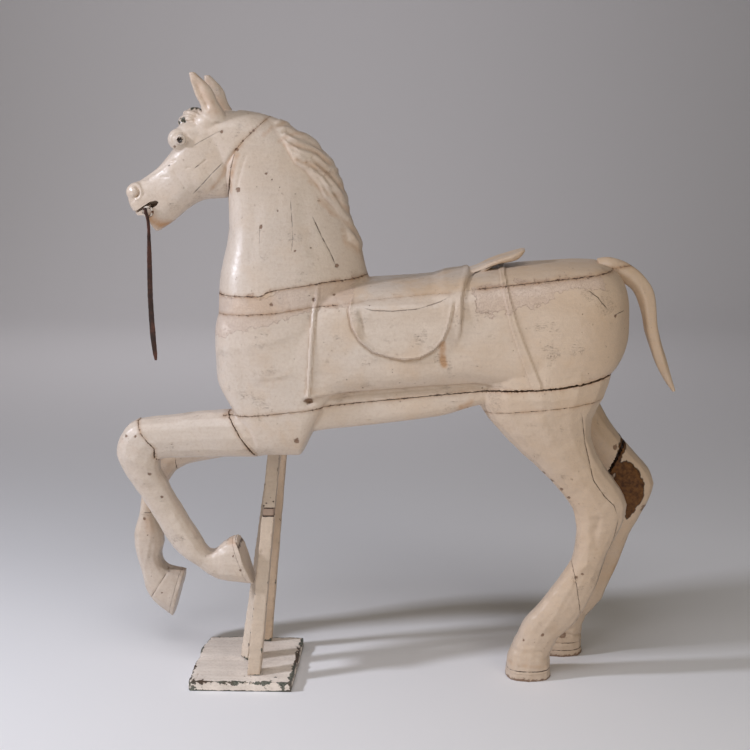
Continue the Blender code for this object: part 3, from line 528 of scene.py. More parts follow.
def along(path, points):
    """How far points lie from a line of the side view, on which side, and how far along it."""
    best = np.full(len(points), 9.0)
    side, run, done = np.zeros(len(points)), np.zeros(len(points)), 0.0
    for (x0, z0), (x1, z1) in zip(path, path[1:]):
        dx, dz = x1 - x0, z1 - z0
        long = math.hypot(dx, dz)
        px, pz = points[:, 0] - x0, points[:, 2] - z0
        share = np.clip((px * dx + pz * dz) / long**2, 0, 1)
        away = np.hypot(px - share * dx, pz - share * dz)
        near = away < best
        best[near] = away[near]
        side[near] = np.sign(dx * pz - dz * px)[near]
        run[near] = (done + share * long)[near]
        done += long
    return best, side * best, run / done


def inside(outline, points):
    """How far points lie inside a closed outline of the side view, negative outside."""
    best, _, _ = along(list(outline) + [outline[0]], points)
    x, z, within = points[:, 0], points[:, 2], np.zeros(len(points), bool)
    for (x0, z0), (x1, z1) in zip(outline, list(outline[1:]) + [outline[0]]):
        if z0 != z1:
            crosses = (z0 > z) != (z1 > z)
            within ^= crosses & (x < (x1 - x0) * (z - z0) / (z1 - z0) + x0)
    return np.where(within, best, -best)


def groove(away, width):
    """A rounded valley round a line, 1 in its middle."""
    return np.exp(-(away / width) ** 2)


def tapered(run, ends=0.12):
    """1 along a line, fading at its two ends."""
    return smooth(run, 0, ends) * smooth(1 - run, 0, ends)


def ripple(points, size, seed, terms=7):
    """A soft random swell over the points, about -1 to 1, with bumps of that size."""
    draw = np.random.default_rng(seed)
    total = np.zeros(len(points))
    for _ in range(terms):
        way = draw.normal(size=3)
        way /= np.linalg.norm(way)
        pitch = size * draw.uniform(0.7, 1.5)
        total += np.sin(points @ way * 2 * math.pi / pitch + draw.uniform(0, 6.28))
    return total / math.sqrt(terms)


# ------------------------------------------------------------------ sawing along the joints
# The blocks are glued face to face. The glue has let go in places, and the lines between the
# blocks have opened to ragged gaps, from a hair to about a centimetre at the far hock.
def kerf(path, width, across, seed, shiver=0.0006, step=0.003):
    """A ragged thin blade along a line of the side view, wide as width says along it."""
    path = np.array(path, float)
    gaps = np.hypot(*np.diff(path, axis=0).T)
    run = np.concatenate([[0], np.cumsum(gaps)])
    at = np.linspace(0, run[-1], max(4, int(run[-1] / step)))
    middle = np.stack([np.interp(at, run, path[:, 0]), np.interp(at, run, path[:, 1])], 1)
    heading = np.gradient(middle, axis=0)
    heading /= np.linalg.norm(heading, axis=1)[:, None]
    sideways = np.stack([-heading[:, 1], heading[:, 0]], 1)
    draw = np.random.default_rng(seed)
    wide = np.interp(at / run[-1], *np.array(width, float).T)
    wide *= draw.uniform(0.55, 1.35, len(at))
    shift = draw.normal(0, shiver, len(at))
    top = middle + sideways * (shift + wide / 2)[:, None]
    low = middle + sideways * (shift - wide / 2)[:, None]
    ring = np.vstack([top, low[::-1]])
    count = len(ring)
    points = [(x, y, z) for y in across for x, z in ring]
    faces = tube(2, count)[:-2]
    half = count // 2
    for i in range(half - 1):
        a, b, c, d = i, i + 1, count - 2 - i, count - 1 - i
        faces += [(d, c, b, a), (a + count, b + count, c + count, d + count)]
    return points, faces


def cut(thing, points, faces):
    """Takes a closed form away from a piece."""
    tool = solid("tool", points, faces)
    face_outwards(tool)
    step = thing.modifiers.new("cut", "BOOLEAN")
    step.operation, step.solver, step.object = "DIFFERENCE", "MANIFOLD", tool
    apply_all(thing)
    bpy.data.objects.remove(tool)


def blocks(thing, labels):
    """Parts the loose solids of a sawn piece, each named after the nearest label."""
    only(thing)
    bpy.ops.mesh.separate(type="LOOSE")
    found = {}
    for part in list(bpy.context.selected_objects):
        points = read(part)
        middle = (points.min(0) + points.max(0)) / 2
        label = min(labels, key=lambda n: np.linalg.norm(np.array(labels[n]) - middle))
        if len(points) > len(read(found[label])) if label in found else len(points) > 300:
            if label in found:
                bpy.data.objects.remove(found[label])
            found[label] = part
        else:
            bpy.data.objects.remove(part)
    return found


BOTH, NEAR, FAR = (-0.3, 0.3), (-0.22, -0.020), (0.020, 0.22)
NECK_JOINT = [(-0.46, 0.877), (-0.378, 0.882), (-0.344, 0.883), (-0.300, 0.884), (-0.284, 0.884),
              (-0.272, 0.892), (-0.250, 0.898), (-0.221, 0.902), (-0.178, 0.907), (-0.152, 0.911),
              (-0.090, 0.914), (-0.060, 0.918), (-0.030, 0.921)]
BACK_JOINT = [(-0.46, 0.832), (-0.355, 0.843), (-0.256, 0.849), (-0.183, 0.860), (-0.122, 0.866),
              (-0.097, 0.869), (-0.050, 0.877), (0.010, 0.883), (0.122, 0.894), (0.180, 0.901),
              (0.266, 0.911), (0.336, 0.919), (0.412, 0.926), (0.56, 0.944)]
LONG_JOINT = [(-0.374, 0.6195), (-0.345, 0.621), (-0.291, 0.627), (-0.204, 0.637), (-0.117, 0.649),
              (-0.031, 0.658), (0.055, 0.667), (0.152, 0.677), (0.226, 0.683), (0.291, 0.687),
              (0.354, 0.692), (0.418, 0.702), (0.471, 0.716), (0.56, 0.735)]
LEG_JOINT = [(0.12, 0.622), (0.190, 0.631), (0.272, 0.640), (0.355, 0.648), (0.431, 0.658), (0.55, 0.672)]
HAIRLINE = [(0, 0.0004), (1, 0.0008)]
SHOULDER = [(-0.412, 0.697), (-0.402, 0.680), (-0.376, 0.641), (-0.353, 0.606), (-0.328, 0.564),
            (-0.307, 0.532), (-0.285, 0.499)]
KNEE = [(-0.590, 0.658), (-0.564, 0.604), (-0.552, 0.577), (-0.526, 0.548), (-0.528, 0.525),
        (-0.506, 0.496), (-0.480, 0.466)]
FAR_KNEE = [(-0.514, 0.660), (-0.516, 0.620), (-0.519, 0.380)]
HEAD_JOINT = [(-0.235, 1.365), (-0.250, 1.320), (-0.270, 1.262), (-0.303, 1.230), (-0.324, 1.209),
              (-0.342, 1.188), (-0.352, 1.150), (-0.364, 1.090), (-0.368, 1.030), (-0.370, 1.000)]


# ------------------------------------------------------------------ the body
# A back board, a thick block and a keel, glued one on another and carved with the saddle flap,
# the skirt, the girth bead and the strap behind it. The forearms are sawn off at the shoulder.
FLAP = [(-0.092, 0.882), (-0.097, 0.856), (-0.089, 0.822), (-0.072, 0.792), (-0.044, 0.769),
        (-0.008, 0.758), (0.024, 0.753), (0.055, 0.758), (0.085, 0.774), (0.104, 0.795),
        (0.116, 0.823), (0.124, 0.857), (0.130, 0.905), (-0.085, 0.905)]
SKIRT = [(0.060, 0.90), (0.070, 0.765), (0.118, 0.768), (0.136, 0.790), (0.143, 0.818), (0.144, 0.850),
         (0.145, 0.882), (0.152, 0.908), (0.164, 0.929), (0.184, 0.948), (0.226, 0.965), (0.226, 1.02),
         (0.060, 1.02)]
GIRTH = [(-0.160, 0.950), (-0.166, 0.880), (-0.172, 0.840), (-0.178, 0.760), (-0.184, 0.674)]
STRAP = [(0.222, 0.985), (0.232, 0.920), (0.240, 0.883), (0.254, 0.829), (0.273, 0.776),
         (0.292, 0.728), (0.305, 0.696)]
UNDER_TURN = [(-0.205, 0.662), (-0.183, 0.668), (-0.138, 0.674), (-0.032, 0.683), (0.081, 0.693),
              (0.171, 0.699), (0.237, 0.692), (0.300, 0.685)]


FLAP_ROLL = [(-0.086, 0.866), (-0.081, 0.840), (-0.076, 0.812), (-0.072, 0.796)]
SHOULDER_FACET = [(-0.420, 0.755), (-0.362, 0.768), (-0.310, 0.784), (-0.256, 0.797), (-0.202, 0.819),
                  (-0.180, 0.842)]
NAIL_HOLES = [(-0.184, 0.660, 0.005), (-0.212, 0.572, 0.003), (-0.172, 0.877, 0.003)]
FLAP_PROUD, SKIRT_PROUD, BEAD_PROUD, STRAP_PROUD = 0.0054, 0.0062, 0.0046, 0.0024


def carve_body(points, normals):
    """How much stands proud of the plain blocks, or is cut in: saddle, straps, turns and holes."""
    x, z = points[:, 0], points[:, 2]
    flank = smooth(np.abs(normals[:, 1]), 0.12, 0.45)
    over = np.maximum(flank, smooth(z, 0.87, 0.90))
    flap, skirt = inside(FLAP, points), inside(SKIRT, points)
    low = 1 - smooth(z, 0.860, 0.884)
    on_flap = smooth(flap, -0.0012, 0.0014) * low
    on_skirt = (smooth(skirt, -0.0014, 0.0022) * smooth(x, 0.075, 0.11) * (1 - smooth(z, 0.925, 0.945))
                * smooth(z, 0.775, 0.850))
    depth = np.maximum(FLAP_PROUD * on_flap * flank, SKIRT_PROUD * on_skirt * over)
    rolled = 0.0024 * groove(flap - 0.0036, 0.0030) - 0.0016 * groove(flap + 0.0030, 0.0024)
    depth += rolled * low * flank
    depth += 0.0020 * groove(skirt - 0.006, 0.005) * smooth(x, 0.10, 0.13) * over * smooth(z, 0.775, 0.85)
    roll, _, run = along(FLAP_ROLL, points)
    rolled = 0.0036 * groove(roll, 0.0075) - 0.0012 * groove(roll - 0.012, 0.004)
    depth += rolled * tapered(run, 0.3) * flank
    bead, _, _ = along(GIRTH, points)
    high = 1 - 0.75 * smooth(z, 0.86, 0.90)
    half_round = np.sqrt(np.clip(1 - (bead / BEAD_PROUD) ** 2, 0, 1))
    depth += BEAD_PROUD * high * half_round * over * smooth(z, 0.66, 0.68)
    knob = np.hypot(x + 0.184, z - 0.670)
    depth += 0.0035 * groove(knob, 0.005) * flank
    depth -= 0.003 * groove(np.hypot(x + 0.184, z - 0.660), 0.006) * flank
    band, _, _ = along(STRAP, points)
    half = 0.0055 + 0.0042 * smooth(1 - (z - 0.69) / 0.24, 0, 1)
    depth += STRAP_PROUD * smooth(half - band, -0.0010, 0.0014) * over
    depth += 0.0008 * groove(half - band - 0.0015, 0.002) * over
    _, side, run = along(UNDER_TURN, points)
    ends = smooth(run, 0.0, 0.05) * (1 - smooth(run, 0.75, 1.0))
    depth += 0.0016 * groove(side - 0.004, 0.004) * ends * flank
    depth -= 0.0046 * smooth(-side, -0.0015, 0.0035) * (1 - smooth(-side, 0.008, 0.020)) * ends * flank
    _, side, run = along(SHOULDER_FACET, points)
    depth += 0.0020 * groove(side + 0.002, 0.010) * flank * smooth(run, 0.0, 0.1) * (1 - smooth(run, 0.85, 1))
    for hole_x, hole_z, radius in NAIL_HOLES:
        depth -= 0.0025 * groove(np.hypot(x - hole_x, z - hole_z), radius) * (points[:, 1] < 0)
    return depth + 0.0005 * ripple(points, 0.09, 3) + 0.00012 * ripple(points, 0.018, 4)


body = fuse("body", [barrel, belly, hips, form(neck_rows[:9], (2.8, 2.0), 0.18, 80, full=0.99),
                     carved(near_hind[:8]), carved(far_hind[:8]), carved(near_fore[:8]),
                     carved(far_fore[:7])], 0.0031)
carve(body, carve_body)
NECK_OPEN = [(0, 0.0003), (0.25, 0.0010), (0.5, 0.0007), (1, 0.0009)]
cut(body, *kerf(NECK_JOINT, NECK_OPEN, BOTH, 1))
cut(body, *kerf(BACK_JOINT, [(0, 0.0004), (0.25, 0.0006), (0.36, 0.0002), (0.60, 0.0002), (0.66, 0.0009),
                             (0.9, 0.0007), (1, 0.0003)], BOTH, 2))
cut(body, *kerf(LONG_JOINT, [(0, 0.0008), (0.3, 0.0012), (0.6, 0.0022), (0.69, 0.0050), (0.73, 0.0036),
                             (0.80, 0.0046), (1, 0.0034)], BOTH, 3, 0.0005))
cut(body, *kerf(LEG_JOINT, [(0, 0.0007), (1, 0.0009)], BOTH, 4, 0.0003))
for across, seed in ((NEAR, 5), (FAR, 6)):
    cut(body, *kerf(SHOULDER, [(0, 0.0034), (0.5, 0.0022), (1, 0.0034)], across, seed, 0.0007))
cut(body, *kerf(KNEE, [(0, 0.0014), (0.5, 0.0014), (0.7, 0.0034), (1, 0.0030)], NEAR, 7, 0.0007))
cut(body, *kerf(FAR_KNEE, [(0, 0.0012), (1, 0.0012)], FAR, 8))
body_blocks = blocks(body, {
    "back_board": (0.040, 0.0, 0.895), "body_block": (0.050, 0.0, 0.780), "keel_board": (0.040, 0.0, 0.620),
    "near_forearm": (-0.440, -0.09, 0.570), "far_forearm": (-0.410, 0.09, 0.550),
    "offcut_neck": (-0.230, 0.0, 0.990), "offcut_knee": (-0.57, -0.09, 0.54),
    "offcut_far_knee": (-0.57, 0.09, 0.50),
    "offcut_thigh": (0.33, -0.08, 0.56), "offcut_far_thigh": (0.36, 0.08, 0.56)})


# ------------------------------------------------------------------ head and neck
# Two blocks, with the mane cut in slanting locks from the forelock down to the withers. The
# eyes bulge under heavy lids, the mouth is open on its bit, and the ears are thin and hollow.
MANE_FRONT = [(-0.285, 1.262), (-0.272, 1.252), (-0.238, 1.201), (-0.215, 1.161), (-0.193, 1.145),
              (-0.169, 1.115), (-0.156, 1.088), (-0.134, 1.064), (-0.116, 1.031), (-0.113, 1.007),
              (-0.111, 0.987), (-0.075, 0.955), (-0.055, 0.930)]
MANE_VALLEYS = [
    [(-0.280, 1.222), (-0.264, 1.236), (-0.250, 1.240), (-0.238, 1.250)],
    [(-0.250, 1.208), (-0.221, 1.222), (-0.196, 1.226), (-0.180, 1.232)],
    [(-0.236, 1.200), (-0.210, 1.199), (-0.180, 1.190), (-0.160, 1.176), (-0.145, 1.160)],
    [(-0.212, 1.168), (-0.185, 1.160), (-0.155, 1.145), (-0.132, 1.126), (-0.112, 1.098)],
    [(-0.184, 1.122), (-0.160, 1.106), (-0.130, 1.085), (-0.108, 1.062), (-0.094, 1.038)],
    [(-0.162, 1.082), (-0.136, 1.054), (-0.109, 1.032), (-0.090, 1.012), (-0.078, 0.996)],
    [(-0.116, 1.018), (-0.110, 0.992), (-0.088, 0.975), (-0.068, 0.954)]]
CREST = [(-0.345, 1.278), (-0.296, 1.268), (-0.229, 1.240), (-0.203, 1.217), (-0.167, 1.187),
         (-0.137, 1.144), (-0.122, 1.100), (-0.107, 1.052), (-0.096, 1.017), (-0.081, 0.973),
         (-0.064, 0.911)]
LOCK_WIDTH, LOCK_PROUD, STRAND_PROUD = 0.022, 0.0068, 0.0023


def carve_mane(points, _normals):
    """Locks that fall from the crest to the mane's front edge, combed into strands."""
    _, side, run = along(MANE_FRONT, points)
    inner = smooth(points[:, 2], 0.925, 0.945) * smooth(run, 0.0, 0.03)
    above, below = np.full(len(points), 9.0), np.full(len(points), LOCK_WIDTH)
    for path in MANE_VALLEYS:
        away, signed, _ = along(path, points)
        above = np.where(signed > 0, np.minimum(above, away), above)
        below = np.where(signed <= 0, np.minimum(below, away), below)
    low = 1 - 0.80 * smooth(points[:, 2], 1.165, 1.215)
    lock = np.clip(below / LOCK_WIDTH, 0, 1) ** 0.75 * smooth(above, 0.0, 0.0085)
    crest, _, far = along(CREST, points)
    combed = (crest / 0.0125 + far * 0.50 / 0.055) * 2 * math.pi + ripple(points, 0.07, 15)
    crisp = smooth(run, 0.14, 0.22) * (1 - smooth(run, 0.55, 0.70))
    depth = 0.0034 * smooth(side, -0.004, 0.016) + 0.0042 * smooth(side, -0.0012, 0.0030) * crisp
    depth += 0.0016 * groove(side - 0.0035, 0.0035) * crisp
    locks = LOCK_PROUD * lock * low + STRAND_PROUD * np.sin(combed)
    return inner * (depth + smooth(side, 0.002, 0.014) * locks)


NECK_CRACK = [(-0.180, 1.054), (-0.159, 1.008), (-0.140, 0.972), (-0.127, 0.942)]
NECK_LINES = [
    ([(-0.338, 1.188), (-0.361, 1.154), (-0.360, 1.120), (-0.362, 1.085), (-0.366, 1.03)], 0.0030, 0.0055),
    ([(-0.314, 1.191), (-0.328, 1.155), (-0.336, 1.123), (-0.346, 1.094), (-0.352, 1.060)], 0.0012, 0.0035),
    ([(-0.300, 1.10), (-0.300, 1.02), (-0.315, 0.93)], 0.0020, 0.016),
    ([(-0.205, 1.12), (-0.195, 1.04), (-0.165, 0.95)], 0.0018, 0.014),
    (NECK_CRACK, 0.0010, 0.0020)]


def carve_neck(points, normals):
    """The mane, and the hollows and creases down the side of the neck."""
    depth = carve_mane(points, normals)
    flank = smooth(np.abs(normals[:, 1]), 0.2, 0.6)
    for path, deep, wide in NECK_LINES:
        away, _, run = along(path, points)
        depth -= deep * groove(away, wide) * tapered(run, 0.2) * flank
    return depth + 0.0004 * ripple(points, 0.08, 13) + 0.00008 * ripple(points, 0.014, 14)


NOSTRIL = (-0.569, 1.098)
EYE, EYE_OUT, EYE_RADIUS = (-0.459, 1.211), 0.0560, 0.0115


HEAD_LINES = [
    ([(-0.326, 1.205), (-0.344, 1.185), (-0.362, 1.161), (-0.370, 1.136), (-0.380, 1.119),
      (-0.398, 1.105), (-0.416, 1.090)], 0.0036, 0.0048),
    ([(-0.552, 1.124), (-0.524, 1.139), (-0.497, 1.157), (-0.481, 1.167)], 0.0012, 0.0026),
    ([(-0.479, 1.142), (-0.462, 1.118), (-0.444, 1.095)], 0.0010, 0.0030),
    ([(-0.482, 1.163), (-0.474, 1.168)], 0.0014, 0.0022),
    ([(-0.508, 1.131), (-0.490, 1.131)], 0.0012, 0.0020),
    ([(-0.450, 1.151), (-0.440, 1.153)], 0.0012, 0.0020),
    ([(-0.420, 1.157), (-0.407, 1.168)], 0.0014, 0.0022),
    ([(-0.583, 1.072), (-0.566, 1.084), (-0.548, 1.092)], 0.0014, 0.0045)]
MUZZLE_PLANE = [(-0.556, 1.112), (-0.520, 1.118), (-0.470, 1.142), (-0.430, 1.160)]
CHEEK_EDGE = [(-0.496, 1.148), (-0.462, 1.108), (-0.447, 1.092)]
EAR_HOLLOW, FAR_EAR_BACK = [(-0.432, 1.338), (-0.418, 1.312), (-0.404, 1.285), (-0.398, 1.268)], 0.014


def carve_head(points, normals):
    """The jaw line and facets, nostril, lids, the hollows of the ears and the forelock's curls."""
    x, z = points[:, 0], points[:, 2]
    flank = smooth(np.abs(normals[:, 1]), 0.15, 0.5)
    depth = np.zeros(len(points))
    for path, deep, wide in HEAD_LINES:
        away, _, run = along(path, points)
        depth -= deep * groove(away, wide) * flank * (tapered(run, 0.2) if deep > 0.0015 else 1)
    plane, _, run = along(MUZZLE_PLANE, points)
    depth -= 0.0012 * groove(plane, 0.014) * tapered(run, 0.3) * flank
    _, side, run = along(CHEEK_EDGE, points)
    depth += 0.0012 * smooth(-side, -0.002, 0.002) * groove(side, 0.022) * tapered(run, 0.3) * flank
    ring = np.hypot(x - NOSTRIL[0], z - NOSTRIL[1])
    behind = smooth(x, NOSTRIL[0] - 0.004, NOSTRIL[0] + 0.006)
    depth -= 0.0042 * groove(ring - 0.0108, 0.0026) * behind * flank
    depth += 0.0020 * groove(ring - 0.0165, 0.0030) * behind * flank
    lid = np.hypot((x - EYE[0]) / 1.25, z - EYE[1])
    brow = smooth(z - EYE[1], -0.006, 0.008)
    depth += 0.0016 * groove(lid - 0.0085, 0.0024) * (0.4 + 0.6 * brow) * flank
    depth -= 0.0016 * groove(lid - 0.0135, 0.0030) * flank
    for back, face in ((0.0, points[:, 1] < 0), (FAR_EAR_BACK, points[:, 1] > 0)):
        hollow, _, run = along([(ear_x + back, ear_z) for ear_x, ear_z in EAR_HOLLOW], points)
        depth -= 0.0060 * groove(hollow, 0.0075) * tapered(run, 0.25) * face * (np.abs(points[:, 1]) > 0.034)
    curls = np.hypot(x + 0.447, (z - 1.243) * 1.2)
    tuft = smooth(z, 1.243, 1.251) * (1 - smooth(z, 1.276, 1.280)) * (x < -0.412)
    depth += 0.0011 * np.sin(curls * 2 * math.pi / 0.0098) * tuft * (np.abs(points[:, 1]) < 0.038)
    return depth + 0.0003 * ripple(points, 0.04, 23) + 0.0001 * ripple(points, 0.010, 24)


MOUTH = [(-0.615, 1.050), (-0.580, 1.0555), (-0.565, 1.0575), (-0.547, 1.0690), (-0.535, 1.0765),
         (-0.521, 1.0800), (-0.515, 1.0760), (-0.520, 1.0690), (-0.530, 1.0625), (-0.546, 1.0625),
         (-0.564, 1.0530), (-0.580, 1.049), (-0.615, 1.042)]
UNDER_LIP = [(-0.615, 1.041), (-0.580, 1.0445), (-0.562, 1.0465), (-0.549, 1.0480), (-0.5415, 1.0400),
             (-0.5365, 1.0290), (-0.530, 1.0150), (-0.526, 0.990), (-0.615, 0.990)]


def prism(outline, across):
    """An outline of the side view carried across the horse."""
    return [(x, y, z) for y in across for x, z in outline], tube(2, len(outline))


skull = form(skull_rows, (2.9, 2.6), 0.0, 64, full=0.985)
neck = fuse("neck", [form(neck_rows, (2.8, 2.0), 0.18, 80, full=0.99), skull, barrel], 0.0027)
carve(neck, carve_neck)
cut(neck, *kerf(NECK_JOINT, NECK_OPEN, BOTH, 1))
cut(neck, *kerf(HEAD_JOINT, HAIRLINE, BOTH, 11, 0.0004))
neck_blocks = blocks(neck, {"neck": (-0.230, 0.0, 1.080), "offcut_body": (0.05, 0, 0.75),
                            "offcut_head": (-0.470, 0.0, 1.150)})

LUMPS = [((-0.439, 0.0, 1.2555), (0.0255, 0.037, 0.0215)), ((-0.460, 0.0, 1.2465), (0.0145, 0.031, 0.0150)),
         ((-0.420, 0.0, 1.258), (0.016, 0.036, 0.0165))]
LUMPS_ON_BOTH_SIDES = [
    ((-0.464, 0.040, 1.2105), (0.0265, 0.0215, 0.0245)), ((-0.436, 0.032, 1.214), (0.046, 0.025, 0.034)),
    ((-0.400, 0.030, 1.245), (0.034, 0.024, 0.026)), ((-0.420, 0.028, 1.140), (0.052, 0.031, 0.050)),
    ((NOSTRIL[0], 0.0310, NOSTRIL[1]), (0.0092, 0.0080, 0.0092)),
    ((-0.564, 0.018, 1.096), (0.026, 0.0205, 0.022))]
lumps = [ball(*lump) for lump in LUMPS]
lumps += [ball((x, side * y, z), radii) for side in (-1, 1) for (x, y, z), radii in LUMPS_ON_BOTH_SIDES]
head = fuse("head", [form(neck_rows[6:], (2.8, 2.0), 0.18, 64, full=0.99), skull,
                     ear(-1, 0.0, 0.0, 1.0), ear(1, 0.004, 0.14, 0.94)] + lumps, 0.0019, 6)
carve(head, lambda p, n: carve_head(p, n) + carve_mane(p, n))
for side in (-1, 1):
    cut(head, *ball((EYE[0], side * EYE_OUT, EYE[1]), (EYE_RADIUS + 0.0002,) * 3))
    cut(head, *prism(MOUTH, sorted((side * 0.008, side * 0.1))))
cut(head, *prism(UNDER_LIP, (-0.1, 0.1)))
cut(head, *kerf(HEAD_JOINT, HAIRLINE, BOTH, 11, 0.0004))
head_blocks = blocks(head, {"head": (-0.460, 0.0, 1.170), "offcut_neck": (-0.23, 0, 1.08)})


# ------------------------------------------------------------------ the legs
# Each leg is one tapering block or two glued end to end, carved to knees, hocks and fetlocks,
# with a shoe sawn off the end of the hoof. The far hock has lost its paint on the inner side.
LEG_LINES = [
    ([(-0.405, 0.336), (-0.401, 0.320), (-0.398, 0.285), (-0.397, 0.240)], -1, 0.0006, 0.0040),
    ([(-0.539, 0.491), (-0.482, 0.393), (-0.438, 0.321)], -1, -0.0012, 0.0050),
    ([(-0.590, 0.530), (-0.548, 0.505), (-0.515, 0.500)], -1, -0.0014, 0.0080),
    ([(-0.584, 0.345), (-0.584, 0.277), (-0.601, 0.210), (-0.598, 0.153)], 1, -0.0012, 0.0045),
    ([(-0.548, 0.197), (-0.569, 0.165), (-0.590, 0.132)], 1, 0.0016, 0.0028),
    ([(0.430, 0.352), (0.423, 0.284), (0.397, 0.242), (0.359, 0.163), (0.328, 0.115)], -1, -0.0016, 0.0055),
    ([(0.402, 0.643), (0.412, 0.567), (0.432, 0.484), (0.457, 0.446), (0.491, 0.401)], -1, 0.0010, 0.0022),
    ([(0.450, 0.400), (0.440, 0.360), (0.446, 0.310)], -1, 0.0022, 0.0090),
    ([(0.225, 0.066), (0.262, 0.072), (0.300, 0.064), (0.335, 0.050), (0.368, 0.044)], -1, 0.0012, 0.0050),
    ([(0.300, 0.062), (0.365, 0.064), (0.420, 0.052), (0.450, 0.040)], 1, 0.0022, 0.0034),
    ([(0.30, 0.034), (0.45, 0.034)], 1, 0.0012, 0.0016)]


def carve_leg(points, _normals):
    """The edges and hollows that the gouge left along the legs."""
    depth = 0.0004 * ripple(points, 0.06, 33) + 0.00015 * ripple(points, 0.016, 34)
    for path, side, deep, wide in LEG_LINES:
        away, _, run = along(path, points)
        depth -= deep * groove(away, wide) * tapered(run, 0.1) * (points[:, 1] * side > 0)
    return depth


def leg(name, rows, sawn, labels, voxel=0.0027):
    """Carves a leg, saws it along its joints and gives its blocks."""
    whole = fuse(name, [carved(rows)], voxel)
    carve(whole, carve_leg)
    for seed, (path, width, across, shiver) in enumerate(sawn):
        cut(whole, *kerf(path, width, across, 40 + seed, shiver))
    return blocks(whole, labels)


near_fore_blocks = leg("near_fore", near_fore[3:], [
    (KNEE, [(0, 0.0014), (0.5, 0.0014), (0.7, 0.0030), (1, 0.0030)], NEAR, 0.0007),
    ([(-0.316, 0.180), (-0.322, 0.200), (-0.373, 0.354), (-0.380, 0.375)], [(0, 0.0006), (1, 0.0006)], NEAR,
     0.0002)],
    {"near_fore_shank": (-0.490, -0.09, 0.415), "near_fore_shoe": (-0.345, -0.085, 0.280),
     "offcut": (-0.50, -0.09, 0.57)})
far_fore_blocks = leg("far_fore", far_fore[2:], [
    (FAR_KNEE, [(0, 0.0012), (1, 0.0012)], FAR, 0.0004),
    ([(-0.670, 0.346), (-0.650, 0.344), (-0.540, 0.333), (-0.520, 0.330)], [(0, 0.0008), (1, 0.0008)], FAR,
     0.0003),
    ([(-0.566, 0.030), (-0.557, 0.062), (-0.512, 0.219), (-0.505, 0.245)], [(0, 0.0007), (1, 0.0007)], FAR,
     0.0004)],
    {"far_knee": (-0.562, 0.085, 0.440), "far_fore_shank": (-0.580, 0.083, 0.220),
     "far_fore_shoe": (-0.530, 0.083, 0.140), "offcut": (-0.46, 0.09, 0.53)})
HIND_SHOE = 0.017
HIP_SAWN = (LEG_JOINT, [(0, 0.0007), (1, 0.0009)], BOTH, 0.0003)
SHOE_SAWN = ([(0.18, HIND_SHOE), (0.50, HIND_SHOE)], [(0, 0.0005), (1, 0.0005)], BOTH, 0.0001)
near_hind_blocks = leg("near_hind", near_hind, [
    HIP_SAWN,
    ([(0.345, 0.350), (0.360, 0.330), (0.392, 0.284), (0.403, 0.235), (0.416, 0.150), (0.428, 0.090),
      (0.432, 0.060)], [(0, 0.0010), (1, 0.0014)], (-0.2, -0.004), 0.0004),
    SHOE_SAWN],
    {"near_hind_leg": (0.350, -0.085, 0.390), "near_hind_foot": (0.330, -0.065, 0.150),
     "near_hind_shoe": (0.300, -0.060, 0.008), "offcut": (0.33, -0.08, 0.70)}, 0.0029)
far_hind_blocks = leg("far_hind", far_hind, [
    HIP_SAWN,
    ([(0.575, 0.635), (0.560, 0.605), (0.521, 0.527), (0.483, 0.453), (0.425, 0.340), (0.41, 0.31)],
     [(0, 0.0014), (0.18, 0.0016), (0.22, 0.0050), (0.40, 0.0085), (0.60, 0.0075), (0.66, 0.0020),
      (1, 0.0012)], (0.004, 0.2), 0.0005),
    SHOE_SAWN],
    {"far_hind_thigh": (0.370, 0.090, 0.530), "far_hind_shank": (0.460, 0.085, 0.270),
     "far_hind_shoe": (0.383, 0.085, 0.008), "offcut": (0.33, 0.08, 0.70)}, 0.0029)
